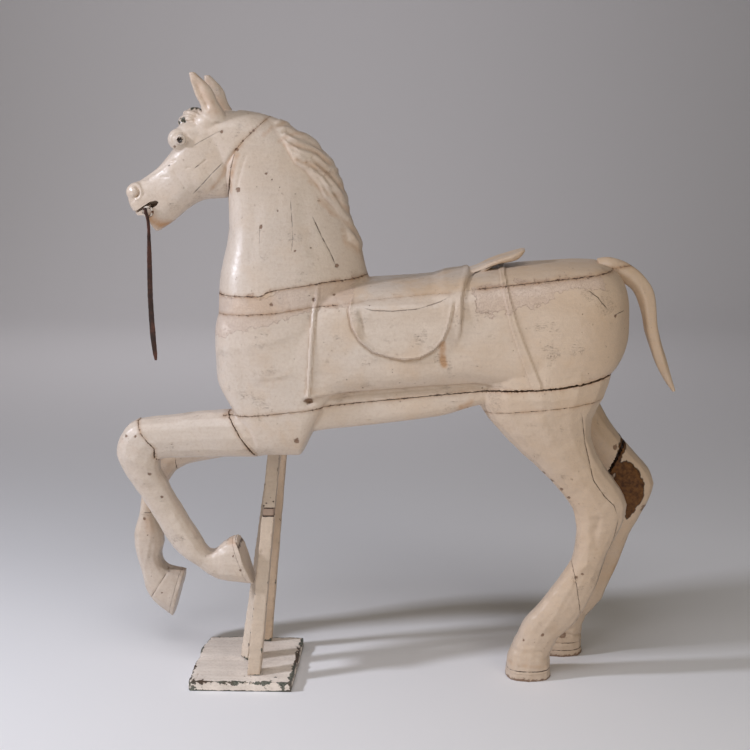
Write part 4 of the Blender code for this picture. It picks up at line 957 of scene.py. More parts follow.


# ------------------------------------------------------------------ the aged cream paint
# Many coats of glossy cream house paint, brushed along each block. It is yellowed and darkened in hollows,
# partly with dirt and partly as painted shade, pinholed, finely crazed, and dark with dirt and bare wood
# where it has chipped at the joints. It is also painted yellower and darker towards the tail, partly as
# shade, and painted shade lies along the mane's locks and under the cantle's edge.
CRACKS_AND_GAP_SHADE = [
    (NECK_CRACK, -1, 1.0),
    ([(-0.224, 1.090), (-0.220, 1.039), (-0.218, 1.005), (-0.221, 0.973)], -1, 0.55),
    ([(-0.441, 1.092), (-0.415, 1.117), (-0.392, 1.141), (-0.366, 1.166)], -1, 0.8),
    ([(-0.437, 1.195), (-0.411, 1.210), (-0.378, 1.227), (-0.361, 1.233)], -1, 0.45),
    ([(-0.289, 1.036), (-0.289, 0.990)], -1, 0.35), ([(-0.492, 1.153), (-0.486, 1.157)], -1, 1.0),
    ([(-0.432, 1.150), (-0.420, 1.158)], -1, 1.0),
    ([(0.408, 0.903), (0.430, 0.887), (0.451, 0.862), (0.466, 0.850)], -1, 0.9),
    ([(0.467, 0.844), (0.478, 0.850), (0.492, 0.853)], -1, 0.8),
    ([(0.402, 0.643), (0.412, 0.567), (0.432, 0.484), (0.457, 0.446), (0.480, 0.423), (0.492, 0.391)], -1,
     1.0),
    ([(0.492, 0.398), (0.484, 0.349), (0.472, 0.308), (0.456, 0.256), (0.444, 0.213)], -1, 0.8),
    ([(-0.597, 0.344), (-0.571, 0.344)], 1, 0.8),
    # Along the foot of the cantle: painted shade in the gap under its edge, not a crack.
    ([(0.158, 0.919), (0.188, 0.931), (0.206, 0.9385), (0.226, 0.9435), (0.246, 0.9465), (0.266, 0.951)], -1,
     1.3),
    ([(-0.548, 0.197), (-0.569, 0.165), (-0.590, 0.132)], 1, 0.7),
    ([(0.225, 0.0235), (0.30, 0.024), (0.37, 0.0235)], -1, 1.6),
    ([(0.325, 0.0345), (0.45, 0.034)], 1, 1.0), ([(0.325, 0.0165), (0.45, 0.016)], 1, 1.0),
    ([(-0.368, 0.352), (-0.340, 0.300), (-0.322, 0.262), (-0.308, 0.222)], -1, 1.0),
    ([(-0.070, 0.864), (-0.047, 0.858), (-0.003, 0.857), (0.051, 0.862), (0.097, 0.876), (0.122, 0.890)], -1,
     0.7)]
SEAMS = [(NECK_JOINT, 0, 1.15), (BACK_JOINT[:5], 0, 1.0), (BACK_JOINT[5:9], 0, 0.6),
         (BACK_JOINT[9:], 0, 1.15), (LONG_JOINT, 0, 1.1), (LEG_JOINT, 0, 0.8), (SHOULDER, 0, 1.2),
         (KNEE, -1, 1.1), (HEAD_JOINT, 0, 1.0)]
OLD_COAT = [(-0.46, 0.878), (-0.46, 0.786), (-0.365, 0.797), (-0.310, 0.816), (-0.263, 0.825),
            (-0.256, 0.829), (-0.246, 0.827), (-0.220, 0.844), (-0.180, 0.856), (-0.140, 0.862),
            (-0.099, 0.867), (-0.090, 0.884), (-0.096, 0.895), (-0.085, 0.908), (-0.095, 0.916),
            (-0.178, 0.907), (-0.250, 0.898), (-0.284, 0.884)]
RUMP_COAT = [(0.190, 0.906), (0.169, 0.898), (0.171, 0.881), (0.176, 0.862), (0.197, 0.853), (0.203, 0.842),
             (0.214, 0.855), (0.250, 0.855), (0.267, 0.866), (0.300, 0.873), (0.319, 0.871), (0.334, 0.886),
             (0.350, 0.897), (0.382, 0.909), (0.413, 0.907), (0.450, 0.900), (0.44, 0.930), (0.33, 0.921)]
RUST_DRIP = [(0.104, 0.786), (0.102, 0.768), (0.104, 0.752), (0.107, 0.742)]
STAINS_AND_SHADE = [
    (RUST_DRIP, -1, 0.0072, 1.4),
    ([(-0.535, 1.040), (-0.516, 1.028), (-0.495, 1.020)], -1, 0.0140, 1.0),
    ([(-0.326, 1.205), (-0.344, 1.185), (-0.362, 1.161), (-0.370, 1.136), (-0.398, 1.105)], -1, 0.0050, 0.45),
    ([(-0.425, 1.345), (-0.405, 1.300), (-0.385, 1.272)], 0, 0.0220, 0.42),
    ([(0.440, 0.350), (0.425, 0.284), (0.397, 0.240)], -1, 0.0060, 0.20),
    ([(-0.500, 0.470), (-0.440, 0.370), (-0.400, 0.300)], -1, 0.0090, 0.22),
    ([(-0.330, 0.500), (-0.240, 0.512)], -1, 0.0120, 0.30),
    ([(0.140, 0.640), (0.165, 0.655)], -1, 0.0090, 0.55),
    # Along the crest of the mane: stain and painted shade.
    (CREST, 0, 0.0150, 0.24),
    ([(0.250, 0.560), (0.330, 0.480), (0.392, 0.400)], -1, 0.0120, 0.30),
    ([(0.530, 0.260), (0.500, 0.190)], 1, 0.0140, 0.45),
    ([(-0.336, 1.180), (-0.350, 1.140), (-0.356, 1.100)], -1, 0.0070, 0.50),
    ([(-0.600, 0.560), (-0.560, 0.540)], -1, 0.0160, 0.22),
    ([(-0.590, 0.330), (-0.585, 0.300)], 1, 0.0120, 0.5),
    ([(-0.378, 0.333), (-0.360, 0.325)], -1, 0.0080, 0.6),
    ([(-0.535, 0.205), (-0.512, 0.200)], 1, 0.0070, 0.8),
    ([(0.256, 0.040), (0.345, 0.034)], -1, 0.0070, 0.35),
    # Along the mane's front edge and the valleys between its locks: painted shade as much as stain.
    (MANE_FRONT, 0, 0.0060, 0.26), *[(path, 0, 0.0075, 0.42) for path in MANE_VALLEYS]]
SPOTS = [
    (-0.250, 1.063, -1, 0.0022), (-0.181, 0.984, -1, 0.0020), (-0.286, 1.029, -1, 0.0030),
    (-0.336, 1.106, -1, 0.0034), (-0.275, 1.141, -1, 0.0016), (-0.127, 0.944, -1, 0.0030),
    (-0.213, 0.978, -1, 0.0018), (-0.337, 1.191, -1, 0.0030), (-0.324, 1.209, -1, 0.0024),
    (-0.303, 1.230, -1, 0.0018), (-0.370, 1.228, -1, 0.0030), (-0.473, 1.196, -1, 0.0022),
    (-0.588, 0.574, -1, 0.0026), (-0.566, 0.575, -1, 0.0020), (-0.539, 0.489, -1, 0.0030),
    (-0.516, 0.434, -1, 0.0024), (-0.504, 0.462, -1, 0.0022), (-0.476, 0.420, -1, 0.0018),
    (-0.455, 0.372, -1, 0.0020), (-0.212, 0.572, -1, 0.0046), (-0.184, 0.661, -1, 0.0060),
    (-0.378, 0.330, -1, 0.0026), (-0.360, 0.300, -1, 0.0018), (-0.345, 0.268, -1, 0.0020),
    (-0.597, 0.330, 1, 0.0034), (-0.590, 0.290, 1, 0.0022), (-0.560, 0.150, 1, 0.0022),
    (0.496, 0.513, 1, 0.0050), (0.326, 0.494, -1, 0.0030), (0.344, 0.476, -1, 0.0034),
    (0.364, 0.458, -1, 0.0036), (0.381, 0.438, -1, 0.0024), (0.413, 0.141, -1, 0.0044),
    (0.300, 0.160, -1, 0.0024), (0.330, 0.110, -1, 0.0022), (0.288, 0.095, -1, 0.0026),
    (0.415, 0.260, -1, 0.0026), (0.402, 0.252, -1, 0.0030), (-0.172, 0.877, -1, 0.0034),
    (-0.130, 0.885, -1, 0.0022), (-0.262, 0.868, -1, 0.0030), (0.348, 0.920, -1, 0.0016),
    (0.470, 0.845, -1, 0.0026)]
RUBBED = [(-0.457, 1.252, 0.0085), (-0.467, 1.246, 0.0050), (-0.440, 1.2765, 0.0050),
          (-0.430, 1.2775, 0.0050), (-0.420, 1.2760, 0.0050)]
BARE = [(0.502, 0.476), (0.525, 0.481), (0.551, 0.458), (0.568, 0.422), (0.564, 0.386), (0.549, 0.362),
        (0.529, 0.337), (0.526, 0.366), (0.506, 0.405), (0.494, 0.433)]
GAP = [(0.514, 0.540), (0.527, 0.528), (0.512, 0.486), (0.494, 0.440), (0.483, 0.447), (0.500, 0.494)]
WORN_EDGES = [[(0.535, 0.516), (0.568, 0.488), (0.585, 0.457)], [(0.572, 0.372), (0.568, 0.352)],
              [(-0.556, 0.204), (-0.530, 0.212), (-0.508, 0.200)], [(0.395, 0.052), (0.372, 0.056)]]


def hollows(thing, rounds):
    """How deep each point lies below the middle of its neighbours, negative on ridges."""
    ends = np.empty(len(thing.data.edges) * 2, np.int32)
    thing.data.edges.foreach_get("vertices", ends)
    a, b = ends[0::2], ends[1::2]
    points = read(thing)
    count = np.maximum(np.bincount(ends, minlength=len(points)), 1)
    soft = points.copy()
    for _ in range(rounds):
        for k in range(3):
            near = np.bincount(a, soft[b, k], len(points)) + np.bincount(b, soft[a, k], len(points))
            soft[:, k] = 0.5 * soft[:, k] + 0.5 * near / count
    return ((soft - points) * read(thing, "normal")).sum(1)


def note(thing, name, values):
    """Keeps a number for each point, which the paint reads."""
    field = thing.data.attributes.new(name, "FLOAT", "POINT")
    field.data.foreach_set("value", np.asarray(values, np.float32))


def on_face(points, side):
    """Which points lie on one side of the horse, or all of them where side is 0."""
    return (side == 0) | (np.sign(points[:, 1]) == side)


def weather(thing):
    """Where a carved piece is cracked, dirty, peeled and rubbed, and where shade is painted into its hollows,
    along its mane and under the cantle.
    """
    points = read(thing)
    x, y, z = points.T
    seam, stain_and_shade, spot, rubbed, here = (np.zeros(len(points)) for _ in range(5))
    for path, side, strength in SEAMS:
        away, _, _ = along(path, points)
        seam = np.maximum(seam, strength * np.exp(-away / 0.0045) * on_face(points, side))
    off = np.full(len(points), 0.02)
    for path, side, strength in CRACKS_AND_GAP_SHADE:
        away, signed, run = along(path, points)
        near = (away < np.abs(off)) & (away < 0.01) & on_face(points, side)
        off[near] = signed[near]
        here[near] = (strength * (1 - smooth(away, 0.003, 0.006)) * tapered(run, 0.15))[near]
    for path, side, wide, strength in STAINS_AND_SHADE:
        away, _, _ = along(path, points)
        stain_and_shade = np.maximum(stain_and_shade, strength * groove(away, wide) * on_face(points, side))
    for spot_x, spot_z, side, radius in SPOTS:
        away = np.hypot(x - spot_x, z - spot_z)
        spot = np.maximum(spot, groove(away, 1.35 * radius) * on_face(points, side))
    for rub_x, rub_z, radius in RUBBED:
        rubbed = np.maximum(rubbed, groove(np.hypot(x - rub_x, z - rub_z), radius))
    for path in WORN_EDGES:
        away, _, run = along(path, points)
        spot = np.maximum(spot, groove(away, 0.0080) * tapered(run, 0.2) * on_face(points, 1) * (y < 0.078))
    spot = np.maximum(spot, 0.85 * groove(z, 0.007))
    bare = np.where((y > 0.02) & (y < 0.085), inside(BARE, points), -0.02)
    bare = np.maximum(bare, np.where(y > 0.01, inside(GAP, points), -0.02))
    old_coat = np.maximum(inside(OLD_COAT, points), inside(RUMP_COAT, points))
    for name, values in (("seam", seam), ("crack_and_shade_off", off), ("crack_and_shade_here", here),
                         ("hollow", hollows(thing, 10) / 0.0012), ("fine_hollow", hollows(thing, 2) / 0.0003),
                         ("old_coat", old_coat), ("stain_and_shade", stain_and_shade), ("spot", spot), ("rubbed", rubbed),
                         ("bare", bare)):
        note(thing, name, values)


CREAM, CHALK, YELLOWED = (0.655, 0.540, 0.440), (0.650, 0.558, 0.480), (0.600, 0.430, 0.285)
OLD_PINK, GRIME, CRACK_AND_SHADE_DARK = (0.640, 0.490, 0.400), (0.150, 0.085, 0.052), (0.060, 0.028, 0.014)
SPECKS, BRUSHED, HOLLOW_DIRT_AND_SHADE = (0.52, 0.40, 0.31), (0.42, 0.33, 0.27), (0.46, 0.335, 0.240)
WRINKLE, PEELED_LIP_AND_SHADOW, RUST_STAIN_AND_SHADE = (0.46, 0.31, 0.245), (0.36, 0.235, 0.18), (0.46, 0.235, 0.095)
DARK_SPOT, RUBBED_DARK, BALD_RIM = (0.165, 0.078, 0.036), (0.050, 0.046, 0.026), (0.050, 0.026, 0.014)
WOOD = (0.055, 0.018, 0.004), (0.190, 0.080, 0.020)


def enamel(name, turn, tone=0.0):
    """The cream paint of one block; turn is the way that the block's grain and brush run."""
    paint = Paint(name)
    broad = paint.noise(4.2, 4.0, 0.55, 0.6)
    patchy = paint.noise(13.0, 5.0, 0.62, 0.3)
    streak = paint.noise(14.0, 4.0, 0.6, 0.5, paint.stretched(turn, (1.0, 9.0, 9.0)))
    lumps = paint.noise(52.0, 4.0, 0.55, 0.4)
    fine = paint.noise(170.0, 4.0, 0.65)
    grit = paint.noise(420.0, 3.0, 0.7)
    colour = paint.mix(broad.between(0.38, 0.64), CREAM, CHALK)
    yellow = patchy.between(0.50 - 0.25 * tone, 0.74 - 0.25 * tone, 0.0, 0.45 + tone)
    colour = paint.mix(yellow, colour, YELLOWED)
    # Yellower and darker towards the tail: partly the paint's own yellowing, partly painted shade of the
    # dimmer, warmer light at the rear.
    to_tail = paint.add("ShaderNodeSeparateXYZ", "X", {"Vector": paint.place})
    colour = paint.mix(to_tail.between(-0.05, 0.45, 0.0, 0.70), colour, YELLOWED)
    colour = paint.mix(fine.between(0.46, 0.70, 0.0, 0.38), colour, SPECKS)
    colour = paint.mix(streak.between(0.42, 0.72, 0.0, 0.14), colour, BRUSHED)
    # Darker and browner in the hollows: partly dirt, partly painted shade.
    hollow = paint.field("hollow") + 0.25 * paint.field("fine_hollow") + 0.3 * lumps
    colour = paint.mix(hollow.between(0.30, 1.9, 0.0, 0.70), colour, HOLLOW_DIRT_AND_SHADE)

    old = (paint.field("old_coat") + lumps.between(0.3, 0.7, -0.009, 0.009)
           + fine.between(0.3, 0.7, -0.002, 0.002))
    peeled = old.between(-0.0006, 0.0010)
    # A darker band round the edge of the peeled coat: partly its broken edge, partly painted shadow of the
    # step.
    lip = old.between(-0.0024, -0.0002) - old.between(0.0002, 0.0016)
    lip = lip.by("MAXIMUM", 0.0)
    colour = paint.mix(0.38 * peeled, colour, OLD_PINK)
    wrinkled = paint.noise(75.0, 3.0, 0.6, 2.2).between(0.46, 0.54, 1.0, 0.0)
    wrinkles = (1.0 - 2.0 * abs(wrinkled - 0.5)) * peeled
    colour = paint.mix(0.28 * wrinkles, colour, WRINKLE)
    colour = paint.mix(lip * broad.between(0.35, 0.6, 0.15, 0.65), colour, PEELED_LIP_AND_SHADOW)

    holes = paint.add("ShaderNodeTexVoronoi", "Distance", {"Vector": paint.place, "Scale": 62.0})
    drawn = paint.add("ShaderNodeSeparateColor", "Red", {"Color": holes.beside("Color")})
    size = drawn.beside("Green").between(0.0, 1.0, 0.05, 0.13)
    hole = (holes - size).between(-0.03, 0.02, 1.0, 0.0) * drawn.between(0.86, 0.865)
    colour = paint.mix(hole * drawn.beside("Blue").between(0.0, 1.0, 0.25, 0.85), colour, GRIME)
    checks = paint.noise(24.0, 3.0, 0.6, place=paint.stretched(turn, (1.0, 16.0, 16.0)))
    check = abs(checks - 0.5).between(0.002, 0.010, 1.0, 0.0)
    check = check * paint.noise(19.0, 3.0, 0.6).between(0.60, 0.66)
    colour = paint.mix(0.65 * check, colour, GRIME)

    seam = paint.field("seam")
    dirt = seam * lumps.between(0.3, 0.7, 0.4, 1.35)
    colour = paint.mix(dirt.between(0.10, 1.0, 0.0, 0.70), colour, YELLOWED, "MULTIPLY")
    chips = (seam + fine.between(0.35, 0.7, -0.50, 0.45)).between(0.90, 0.98) * patchy.between(0.40, 0.52)
    colour = paint.mix(chips, colour, GRIME)
    # Dark crack lines, and the painted shade along the gap under the cantle.
    wander = paint.field("crack_and_shade_off") + fine.between(0.2, 0.8, -0.0008, 0.0008)
    line = (abs(wander).between(0.0003, 0.0012, 1.0, 0.0) * paint.field("crack_and_shade_here")
            * lumps.between(0.36, 0.52, 0.15, 1.0))
    colour = paint.mix(line, colour, CRACK_AND_SHADE_DARK)
    # Rust, dirt and other stains, and the painted shade along the mane.
    stain_and_shade = paint.field("stain_and_shade") * lumps.between(0.3, 0.7, 0.55, 1.3)
    colour = paint.mix(stain_and_shade.between(0.15, 1.0, 0.0, 0.85), colour, RUST_STAIN_AND_SHADE)
    ragged = fine.between(0.3, 0.7, -0.25, 0.25) + lumps.between(0.3, 0.7, -0.30, 0.30)
    spot = (paint.field("spot") + ragged).between(0.36, 0.62)
    colour = paint.mix(0.80 * spot, colour, DARK_SPOT)
    rub = (paint.field("rubbed") + fine.between(0.3, 0.7, -0.45, 0.35)).between(0.45, 0.60)
    colour = paint.mix(rub, colour, RUBBED_DARK)

    edge = paint.field("bare") + lumps.between(0.3, 0.7, -0.0035, 0.0035)
    bald = edge.between(-0.0004, 0.0006)
    wood = paint.mix(paint.noise(95.0, 5.0, 0.7).between(0.35, 0.68), *WOOD)
    colour = paint.mix(bald, colour, wood)
    colour = paint.mix(abs(edge).between(0.0004, 0.0022, 0.8, 0.0), colour, BALD_RIM)
    matt = patchy.between(0.35, 0.65, 0.32, 0.54).by("ADD", 0.65 * bald, clamp=True)
    paint.set(colour=colour, roughness=matt, coat=0.14, coat_roughness=0.20)
    height = 0.35 * streak
    for part, share in ((lumps, 0.52), (fine, 0.48), (grit, 0.12), (hole, -1.2), (wrinkles, -0.35),
                        (peeled, -0.6), (line, -1.5), (spot, -1.2), (check, -0.8), (chips, -0.8),
                        (bald, -1.0)):
        height = height + share * part
    paint.bump(height, 0.75, 0.0013)
    return paint.material


def finish_block(node, thing, paint, angle=35):
    """Puts a carved piece in its place, with nothing of it under the floor, and settles it."""
    thing.name = thing.data.name = node + "_carved"
    points = read(thing)
    points[:, 2] = points[:, 2].clip(0)
    thing.data.vertices.foreach_set("co", points.astype(np.float32).ravel())
    thing.data.transform(Matrix.Translation(MIDDLE))
    settle(thing, node, paint, angle)


made_blocks = {}
for group in (body_blocks, neck_blocks, head_blocks, near_fore_blocks, far_fore_blocks, near_hind_blocks,
              far_hind_blocks):
    for name, thing in group.items():
        if name.startswith("offcut"):
            bpy.data.objects.remove(thing)
        else:
            made_blocks[name] = thing
GRAIN = {"head": 48, "neck": 90, "back_board": -6, "body_block": -6, "keel_board": -6, "near_forearm": -8,
         "far_forearm": -12, "near_fore_shank": 62, "near_fore_shoe": 30, "far_knee": 75,
         "far_fore_shank": 90, "far_fore_shoe": 30, "near_hind_leg": 52, "near_hind_foot": 110,
         "near_hind_shoe": 0, "far_hind_thigh": 50, "far_hind_shank": 100, "far_hind_shoe": 0}
AGED = {"back_board": 0.35, "near_hind_foot": 0.15, "far_hind_thigh": 0.25, "far_hind_shank": 0.25,
        "far_knee": 0.35, "near_forearm": -0.20, "near_fore_shank": -0.15, "near_fore_shoe": -0.20,
        "far_fore_shank": -0.15, "far_fore_shoe": -0.15, "neck": -0.10, "head": -0.05}
for name, thing in made_blocks.items():
    weather(thing)
    finish_block(name, thing, enamel("cream_" + name, GRAIN[name], AGED.get(name, 0.05)))


# ------------------------------------------------------------------ the cantle and the tail
# The cantle is a thin tapering board let down onto the back; the dark gap under its edge is painted
# shade. The tail is a bent tapering stick of wood, plugged into a socket and gouged along its length.
CANTLE = [(0.148, 0.9270, 0.905, 0.034), (0.165, 0.9330, 0.907, 0.038), (0.183, 0.9410, 0.914, 0.041),
          (0.205, 0.9500, 0.9330, 0.044), (0.228, 0.9585, 0.9430, 0.045), (0.249, 0.9655, 0.9465, 0.042),
          (0.264, 0.9705, 0.9510, 0.036), (0.275, 0.9745, 0.9600, 0.029), (0.281, 0.9750, 0.9680, 0.021)]
TAIL = [(0.440, 0.952, 0.452, 0.898, 0.0, 0.022), (0.462, 0.955, 0.470, 0.902, 0.0, 0.023),
        (0.490, 0.949, 0.484, 0.903, 0.0, 0.022), (0.518, 0.935, 0.502, 0.896, 0.0, 0.021),
        (0.545, 0.912, 0.519, 0.882, 0.0, 0.020), (0.565, 0.882, 0.532, 0.858, 0.0, 0.019),
        (0.573, 0.846, 0.541, 0.828, 0.0, 0.018), (0.577, 0.805, 0.548, 0.795, 0.0, 0.017),
        (0.586, 0.768, 0.560, 0.755, 0.0, 0.015), (0.599, 0.728, 0.576, 0.714, 0.0, 0.013),
        (0.611, 0.690, 0.594, 0.682, 0.0, 0.009), (0.622, 0.656, 0.615, 0.653, 0.0, 0.004)]
TAIL_MIDDLE = [((a + c) / 2, (b + d) / 2) for a, b, c, d, _, _ in TAIL]


def carve_tail(points, _normals):
    """Shallow strands that wind round the tail and fade towards its tip."""
    _, side, run = along(TAIL_MIDDLE, points)
    turn = np.arctan2(points[:, 1], side) + 1.6 * run
    strands = np.cos(turn * 5) * 0.0008 + np.cos(turn * 2 + 0.6) * 0.0007
    return strands * (1 - smooth(run, 0.75, 1.0)) + 0.0003 * ripple(points, 0.05, 61)


cantle = fuse("cantle", [form(slices(CANTLE), (3.2, 3.2), 0.0, 48, full=1.0)], 0.0016, 2)
carve(cantle, lambda p, n: 0.0004 * ripple(p, 0.03, 62) - 0.0022 * groove(p[:, 1], 0.022) * (n[:, 2] > 0.3))
tail = fuse("tail", [form(TAIL, (2.2, 2.2), 0.0, 40, full=0.99)], 0.0018, 2)
carve(tail, carve_tail)
for node, thing, turn in (("saddle_cantle", cantle, -24), ("tail", tail, 65)):
    weather(thing)
    finish_block(node, thing, enamel("cream_" + node, turn, 0.50))


# ------------------------------------------------------------------ the eyes and the bit
# Turned glass-smooth balls set under the lids, cream with a dark pupil. The bit is a rusty
# jointed iron bar through the mouth, with a loose ring at each end and a little paint left on.
def painted_eye():
    """A dark pupil in a pinkish white, chipped and with a ragged edge."""
    paint = Paint("painted_eye")
    middle = (EYE[0] + MIDDLE.x - 0.0005, 0, EYE[1])
    axis = paint.add("ShaderNodeVectorMath", "Vector", {0: paint.place, 1: middle}, operation="SUBTRACT")
    flat = paint.add("ShaderNodeVectorMath", "Vector", {0: axis, 1: (1, 0, 1)}, operation="MULTIPLY")
    away = paint.add("ShaderNodeVectorMath", "Value", {0: flat}, operation="LENGTH")
    ragged = away + paint.noise(260.0, 3.0, 0.6).between(0.3, 0.7, -0.0011, 0.0011)
    flake = paint.noise(330.0, 2.0, 0.5).between(0.60, 0.64)
    black = paint.mix(0.6 * flake, (0.022, 0.014, 0.011), (0.45, 0.36, 0.29))
    iris = paint.mix(ragged.between(0.0064, 0.0085), (0.40, 0.30, 0.23), (0.70, 0.61, 0.53))
    colour = paint.mix(ragged.between(0.0056, 0.0066, 1.0, 0.0), iris, black)
    paint.set(colour=colour, roughness=0.16, coat=0.6, coat_roughness=0.05)
    return paint.material


def rusty_iron():
    """Brown rust in patches, with a little cream paint left on it."""
    paint = Paint("rusty_iron")
    grain = paint.noise(700.0, 3.0, 0.7)
    colour = paint.mix(paint.noise(160.0, 4.0, 0.65).between(0.38, 0.62), (0.030, 0.020, 0.017),
                       (0.150, 0.060, 0.028))
    left = paint.noise(120.0, 3.0, 0.5).between(0.46, 0.50)
    paint.set(colour=paint.mix(left, colour, (0.66, 0.58, 0.50)), metallic=left.between(0.0, 1.0, 0.50, 0.0),
              roughness=grain.between(0.3, 0.7, 0.50, 0.80))
    paint.bump(grain + left, 0.8, 0.0005)
    return paint.material


def apply_place():
    """Works the place and turn of the active piece into its points."""
    bpy.ops.object.transform_apply(location=True, rotation=True, scale=True)


def select_none(mode):
    """Leaves nothing of the active piece selected, whichever kind is picked next."""
    bpy.ops.object.mode_set(mode="EDIT")
    bpy.ops.mesh.select_mode(type=mode)
    bpy.ops.mesh.select_all(action="DESELECT")
    bpy.ops.object.mode_set(mode="OBJECT")


ACROSS = (math.pi / 2, 0, 0)
eye_paint = painted_eye()
for node, side in (("near_eye", -1), ("far_eye", 1)):
    centre = Vector((EYE[0] + MIDDLE.x, MIDDLE.y + side * (EYE_OUT + 0.0002), EYE[1]))
    bpy.ops.mesh.primitive_uv_sphere_add(segments=48, ring_count=32, radius=EYE_RADIUS, rotation=ACROSS,
                                         location=centre)
    eye = bpy.context.object
    eye.name = eye.data.name = node + "_ball"
    apply_place()
    select_none("FACE")
    for face in eye.data.polygons:
        face.select = (face.center - centre).normalized().y * side > 0.84
    bpy.ops.object.mode_set(mode="EDIT")
    bpy.ops.mesh.inset(thickness=0.0009, depth=-0.0007)
    bpy.ops.object.mode_set(mode="OBJECT")
    softened = eye.modifiers.new("softened", "SUBSURF")
    softened.levels = softened.render_levels = 1
    apply_all(eye)
    settle(eye, node, eye_paint)

BIT_Z, RING_RADIUS, BAR_THIN, BAR_THICK = 1.066, 0.0100, 0.012, 0.034
bit_x = (bit_low.x + bit_high.x) / 2


def turned_ring(radius, thick, rotation, place, steps):
    """A ring of round bar, in so many steps round it and round the bar."""
    bpy.ops.mesh.primitive_torus_add(major_segments=steps[0], minor_segments=steps[1], major_radius=radius,
                                     minor_radius=thick, rotation=rotation, location=place)
    return bpy.context.object


bit_parts = []
for side in (-1, 1):
    bpy.ops.mesh.primitive_cylinder_add(vertices=20, radius=0.0030, depth=0.046, rotation=ACROSS,
                                        location=(bit_x, MIDDLE.y + side * 0.0235, BIT_Z))
    bar = bpy.context.object
    apply_place()
    select_none("VERT")
    bpy.ops.object.mode_set(mode="EDIT")
    for place in (BAR_THIN, BAR_THICK):
        bpy.ops.mesh.select_all(action="SELECT")
        bpy.ops.mesh.bisect(plane_co=(0, MIDDLE.y + side * place, 0), plane_no=(0, 1, 0))
    bpy.ops.object.mode_set(mode="OBJECT")
    for vert in bar.data.vertices:
        near_joint = 1 - abs(abs(vert.co.y - MIDDLE.y) - BAR_THICK) / BAR_THICK
        swell = 0.78 + 0.42 * max(near_joint, 0)
        vert.co.x = bit_x + (vert.co.x - bit_x) * swell
        vert.co.z = BIT_Z + (vert.co.z - BIT_Z) * swell
    end = MIDDLE.y + side * RING_OUT
    bit_parts += [bar, turned_ring(RING_RADIUS, 0.0026, ACROSS, (bit_x, end, BIT_Z - RING_RADIUS), (48, 14)),
                  turned_ring(0.0034, 0.0016, (0, 0, 0), (bit_x, end, BIT_Z), (28, 10))]
bit_parts.append(turned_ring(0.0030, 0.0014, (0, math.pi / 2, 0), (bit_x, MIDDLE.y, BIT_Z), (24, 10)))
only(bit_parts[-1])
for thing in bit_parts:
    thing.select_set(True)
bpy.ops.object.join()
bit = bpy.context.object
bit.name = bit.data.name = "bit_and_rings"
apply_place()
settle(bit, "bit", rusty_iron())


# ------------------------------------------------------------------ the stand
# Three rough square struts nailed to a thick board, their heads under the keel. The front one
# is in two lengths with a bare block between. All the rest has had many coats, and its edges
# are chipped down to an old dark green and to the wood.
OLD_GREEN = (0.035, 0.042, 0.032), (0.170, 0.170, 0.135)
OLD_PLANK, NAIL_DARK = (0.075, 0.045, 0.028), (0.060, 0.036, 0.026)


def worn_paint(name, turn, tint, edge_wear=0.5):
    """Old paint on a plank: worn edges show an older green coat and dark wood, and its hollows are painted
    darker as dirt and shade.
    """
    paint = Paint(name)
    broad = paint.noise(11.0, 4.0, 0.6, 0.5)
    grain = paint.noise(2.4, 5.0, 0.65, 0.4, paint.stretched(turn, (3.0, 45.0, 45.0)))
    fine = paint.noise(190.0, 4.0, 0.65)
    lumps = paint.noise(70.0, 4.0, 0.6)
    colour = paint.mix(broad.between(0.36, 0.66), tint, tuple(0.82 * v for v in tint))
    colour = paint.mix(grain.between(0.42, 0.72, 0.0, 0.26), colour, (0.50, 0.37, 0.27))
    colour = paint.mix(fine.between(0.48, 0.74, 0.0, 0.40), colour, BRUSHED)
    ridge = paint.field("hollow").between(-0.15, -1.1)
    worn = (edge_wear * ridge + paint.field("worn") + lumps.between(0.28, 0.72, -0.62, 0.42)
            + fine.between(0.3, 0.7, -0.12, 0.12))
    bare = worn.between(0.42, 0.50)
    old = paint.mix(fine.between(0.40, 0.60), *OLD_GREEN)
    old = paint.mix(broad.between(0.50, 0.62), old, OLD_PLANK)
    colour = paint.mix(bare, colour, old)
    # Darker brown in the dents and hollows: dirt, and painted shade.
    colour = paint.mix(paint.field("hollow").between(0.2, 1.6, 0.0, 0.7), colour, (0.24, 0.15, 0.10))
    spot = (paint.field("spot") + fine.between(0.3, 0.7, -0.2, 0.2)).between(0.45, 0.6)
    colour = paint.mix(spot, colour, NAIL_DARK)
    paint.set(colour=colour, roughness=lumps.between(0.3, 0.7, 0.42, 0.66))
    paint.bump(0.8 * grain + 0.3 * fine - (bare + spot), 0.7, 0.0010)
    return paint.material


def finish_plank(node, thing, paint, worn):
    """Notes where a plank is hollow and worn, and puts it in its place."""
    note(thing, "hollow", hollows(thing, 8) / 0.0010)
    note(thing, "worn", worn)
    finish_block(node, thing, paint, 50)


def spots_at(points, places):
    """Round spots about nail heads and knocks, each (x, y, z, radius)."""
    total = np.zeros(len(points))
    for x, y, z, radius in places:
        total = np.maximum(total, groove(np.linalg.norm(points - (x, y, z), axis=1), radius))
    return total


PLATE_TOP = 0.024
(x0, x1), (y0, y1) = (-0.464, -0.231), (-0.173, 0.087)
outline = [(x0 + 0.004, y0 + 0.001), (x1, y0), (x1, y1), (x0 + 0.010, y1), (x0 + 0.001, y1 - 0.050),
           (x0, y0 + 0.012)]
slab = [(x, y, z) for z in (0.0, PLATE_TOP) for x, y in outline], tube(2, len(outline))
plate = fuse("plate", [slab], 0.0026, 2)


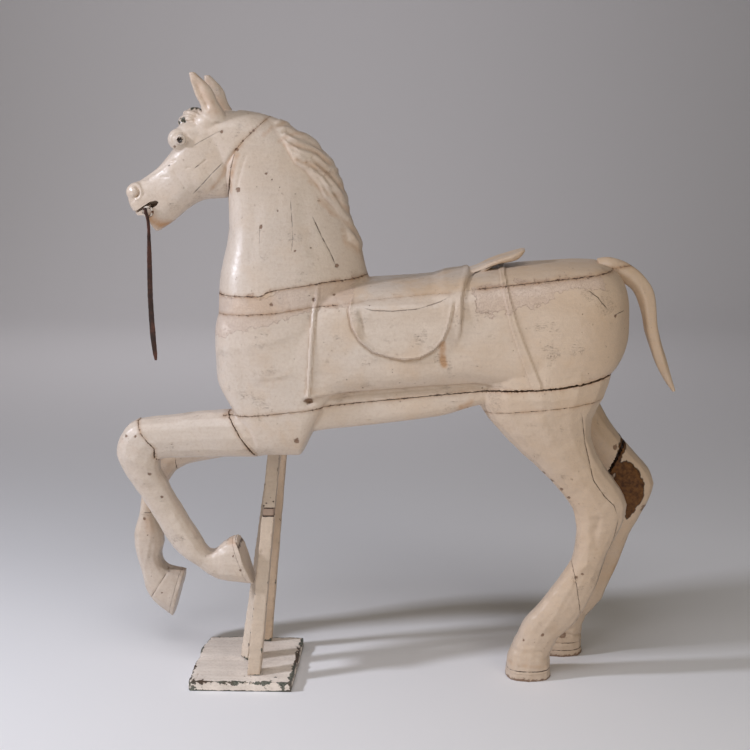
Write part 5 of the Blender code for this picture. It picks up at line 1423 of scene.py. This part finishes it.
def carve_plate(points, normals):
    """Chips along the upper edge of the plate, its wavy sides and one crack in from its front."""
    x, y, z = points.T
    rim = np.minimum.reduce([x - x0, x1 - x, y - y0, y1 - y])
    upper = groove(rim, 0.005) * smooth(z, 0.012, 0.024)
    chipped = smooth(ripple(points, 0.013, 71), 0.25, 0.9) * upper
    crack = groove(np.abs(x + 0.447 - 0.02 * (y - y0)), 0.0014) * (y < y0 + 0.045) * (normals[:, 2] > 0.5)
    wavy = 0.0012 * ripple(points * (1, 1, 0), 0.05, 72) * groove(rim, 0.006) * smooth(z, 0.004, 0.02)
    return -0.0030 * chipped - 0.0014 * crack + wavy - 0.0005 + 0.0003 * ripple(points, 0.04, 73)


carve(plate, carve_plate)
points = read(plate)
x, y, z = points.T
rim = np.minimum.reduce([x - x0, x1 - x, y1 - y])
front = smooth(y0 + 0.004 - y, 0.0, 0.006)
worn = 0.50 * groove(np.minimum(rim, y - y0), 0.008) * smooth(z, 0.010, 0.022)
worn += 0.55 * (1 - smooth(z, 0.001, 0.005))
worn += 0.40 * front + 0.45 * smooth(x, x1 - 0.012, x1) + 0.40 * groove(np.hypot(x - x0, y - y0), 0.03)
worn += 0.40 * groove(np.hypot((x + 0.262) / 1.6, (y + 0.150)), 0.013) * (z > 0.02)
note(plate, "spot", spots_at(points, [(-0.340, -0.142, 0.024, 0.0022), (-0.325, -0.145, 0.024, 0.0025),
                                      (-0.300, -0.128, 0.024, 0.0022), (-0.352, -0.050, 0.024, 0.0026)]))
plate_paint = worn_paint("plate_paint", 0, (0.93, 0.83, 0.74), 0.50)
finish_plank("stand_plate", plate, plate_paint, worn)


def carve_strut(points, _normals):
    """Flat strokes of the plane along a strut, and a few dents."""
    dents = smooth(ripple(points * (1, 1, 0.5), 0.016, 82), 1.5, 2.1)
    return 0.00035 * ripple(points * (1, 1, 0.2), 0.010, 81) - 0.0014 * dents


def strut(foot, top, size, turn, z_low, z_high, name):
    """A square bar from its foot to its head, a little bowed and knocked about."""
    rings = []
    draw = np.random.default_rng(int(1000 * abs(foot[0] + foot[1])))
    for z in np.linspace(z_low, z_high, STRUT_STEPS):
        t = (z - POST_LOW) / (POST_HIGH - POST_LOW)
        x, y = (a + (b - a) * t for a, b in zip(foot, top))
        half = (size[0] + (size[1] - size[0]) * t) / 2
        for a, b in ((half, half), (-half, half), (-half, -half), (half, -half)):
            a, b = a + draw.normal(0, 0.0002), b + draw.normal(0, 0.0002)
            rings.append((x + a * math.cos(turn) - b * math.sin(turn),
                          y + a * math.sin(turn) + b * math.cos(turn), z))
    bar = fuse(name, [(np.array(rings), tube(STRUT_STEPS, 4))], 0.0023, 1)
    carve(bar, carve_strut)
    return bar


POST_LOW, POST_HIGH, STRUT_STEPS = 0.0243, 0.5247, 14
FRONT, SPLICE = ((-0.320, -0.124), (-0.2755, -0.031), (0.030, 0.027), 0.0), (0.377, 0.395)
# Each strut's last colour is its paint with light and shade painted in: the side post lighter where the lamp
# falls on it, the back post darker and warmer as it stands in shade, and the upper front length darker in the
# hoof's shadow.
STRUTS = {
    "stand_front_post_lower": (*FRONT, POST_LOW, SPLICE[0] - 0.0003, (0.64, 0.52, 0.41)),
    "stand_post_packing": (*FRONT[:2], (0.027, 0.024), 0.0, *SPLICE, (0.36, 0.25, 0.19)),
    "stand_front_post_upper": (*FRONT, SPLICE[1] + 0.0003, POST_HIGH, (0.58, 0.47, 0.37)),
    "stand_side_post": ((-0.345, -0.034), (-0.277, 0.012), (0.030, 0.022), math.radians(40), POST_LOW,
                        POST_HIGH, (0.76, 0.64, 0.52)),
    "stand_back_post": ((-0.319, 0.072), (-0.267, 0.044), (0.026, 0.024), 0.0, POST_LOW, POST_HIGH,
                        (0.66, 0.50, 0.36))}
NAILS = [(-0.288, -0.071, 0.364, 0.0046), (-0.292, -0.068, 0.406, 0.0030), (-0.276, -0.066, 0.410, 0.0026),
         (-0.298, -0.068, 0.400, 0.0030), (-0.274, -0.068, 0.368, 0.0022),
         (-0.330, -0.139, 0.034, 0.0022), (-0.312, -0.139, 0.040, 0.0020), (-0.346, -0.054, 0.062, 0.0080),
         (-0.352, -0.056, 0.036, 0.0030), (-0.318, -0.110, 0.300, 0.0012), (-0.306, -0.118, 0.070, 0.0060)]
for node, (*shape, tint) in STRUTS.items():
    bar = strut(*shape, node)
    points = read(bar)
    ends = groove(points[:, 2] - POST_LOW, 0.006) + groove(points[:, 2] - POST_HIGH, 0.006)
    split = np.minimum(np.abs(points[:, 2] - SPLICE[0]), np.abs(points[:, 2] - SPLICE[1]))
    spliced = node.startswith("stand_front") or node == "stand_post_packing"
    note(bar, "spot", np.maximum(spots_at(points, NAILS), 0.9 * groove(split, 0.0016) * spliced))
    bare = node == "stand_post_packing"
    paint = worn_paint(node + "_paint", 84, tint, 0.36)
    finish_plank(node, bar, paint,
                 0.45 * np.minimum(ends, 1) - 0.3 * bare)
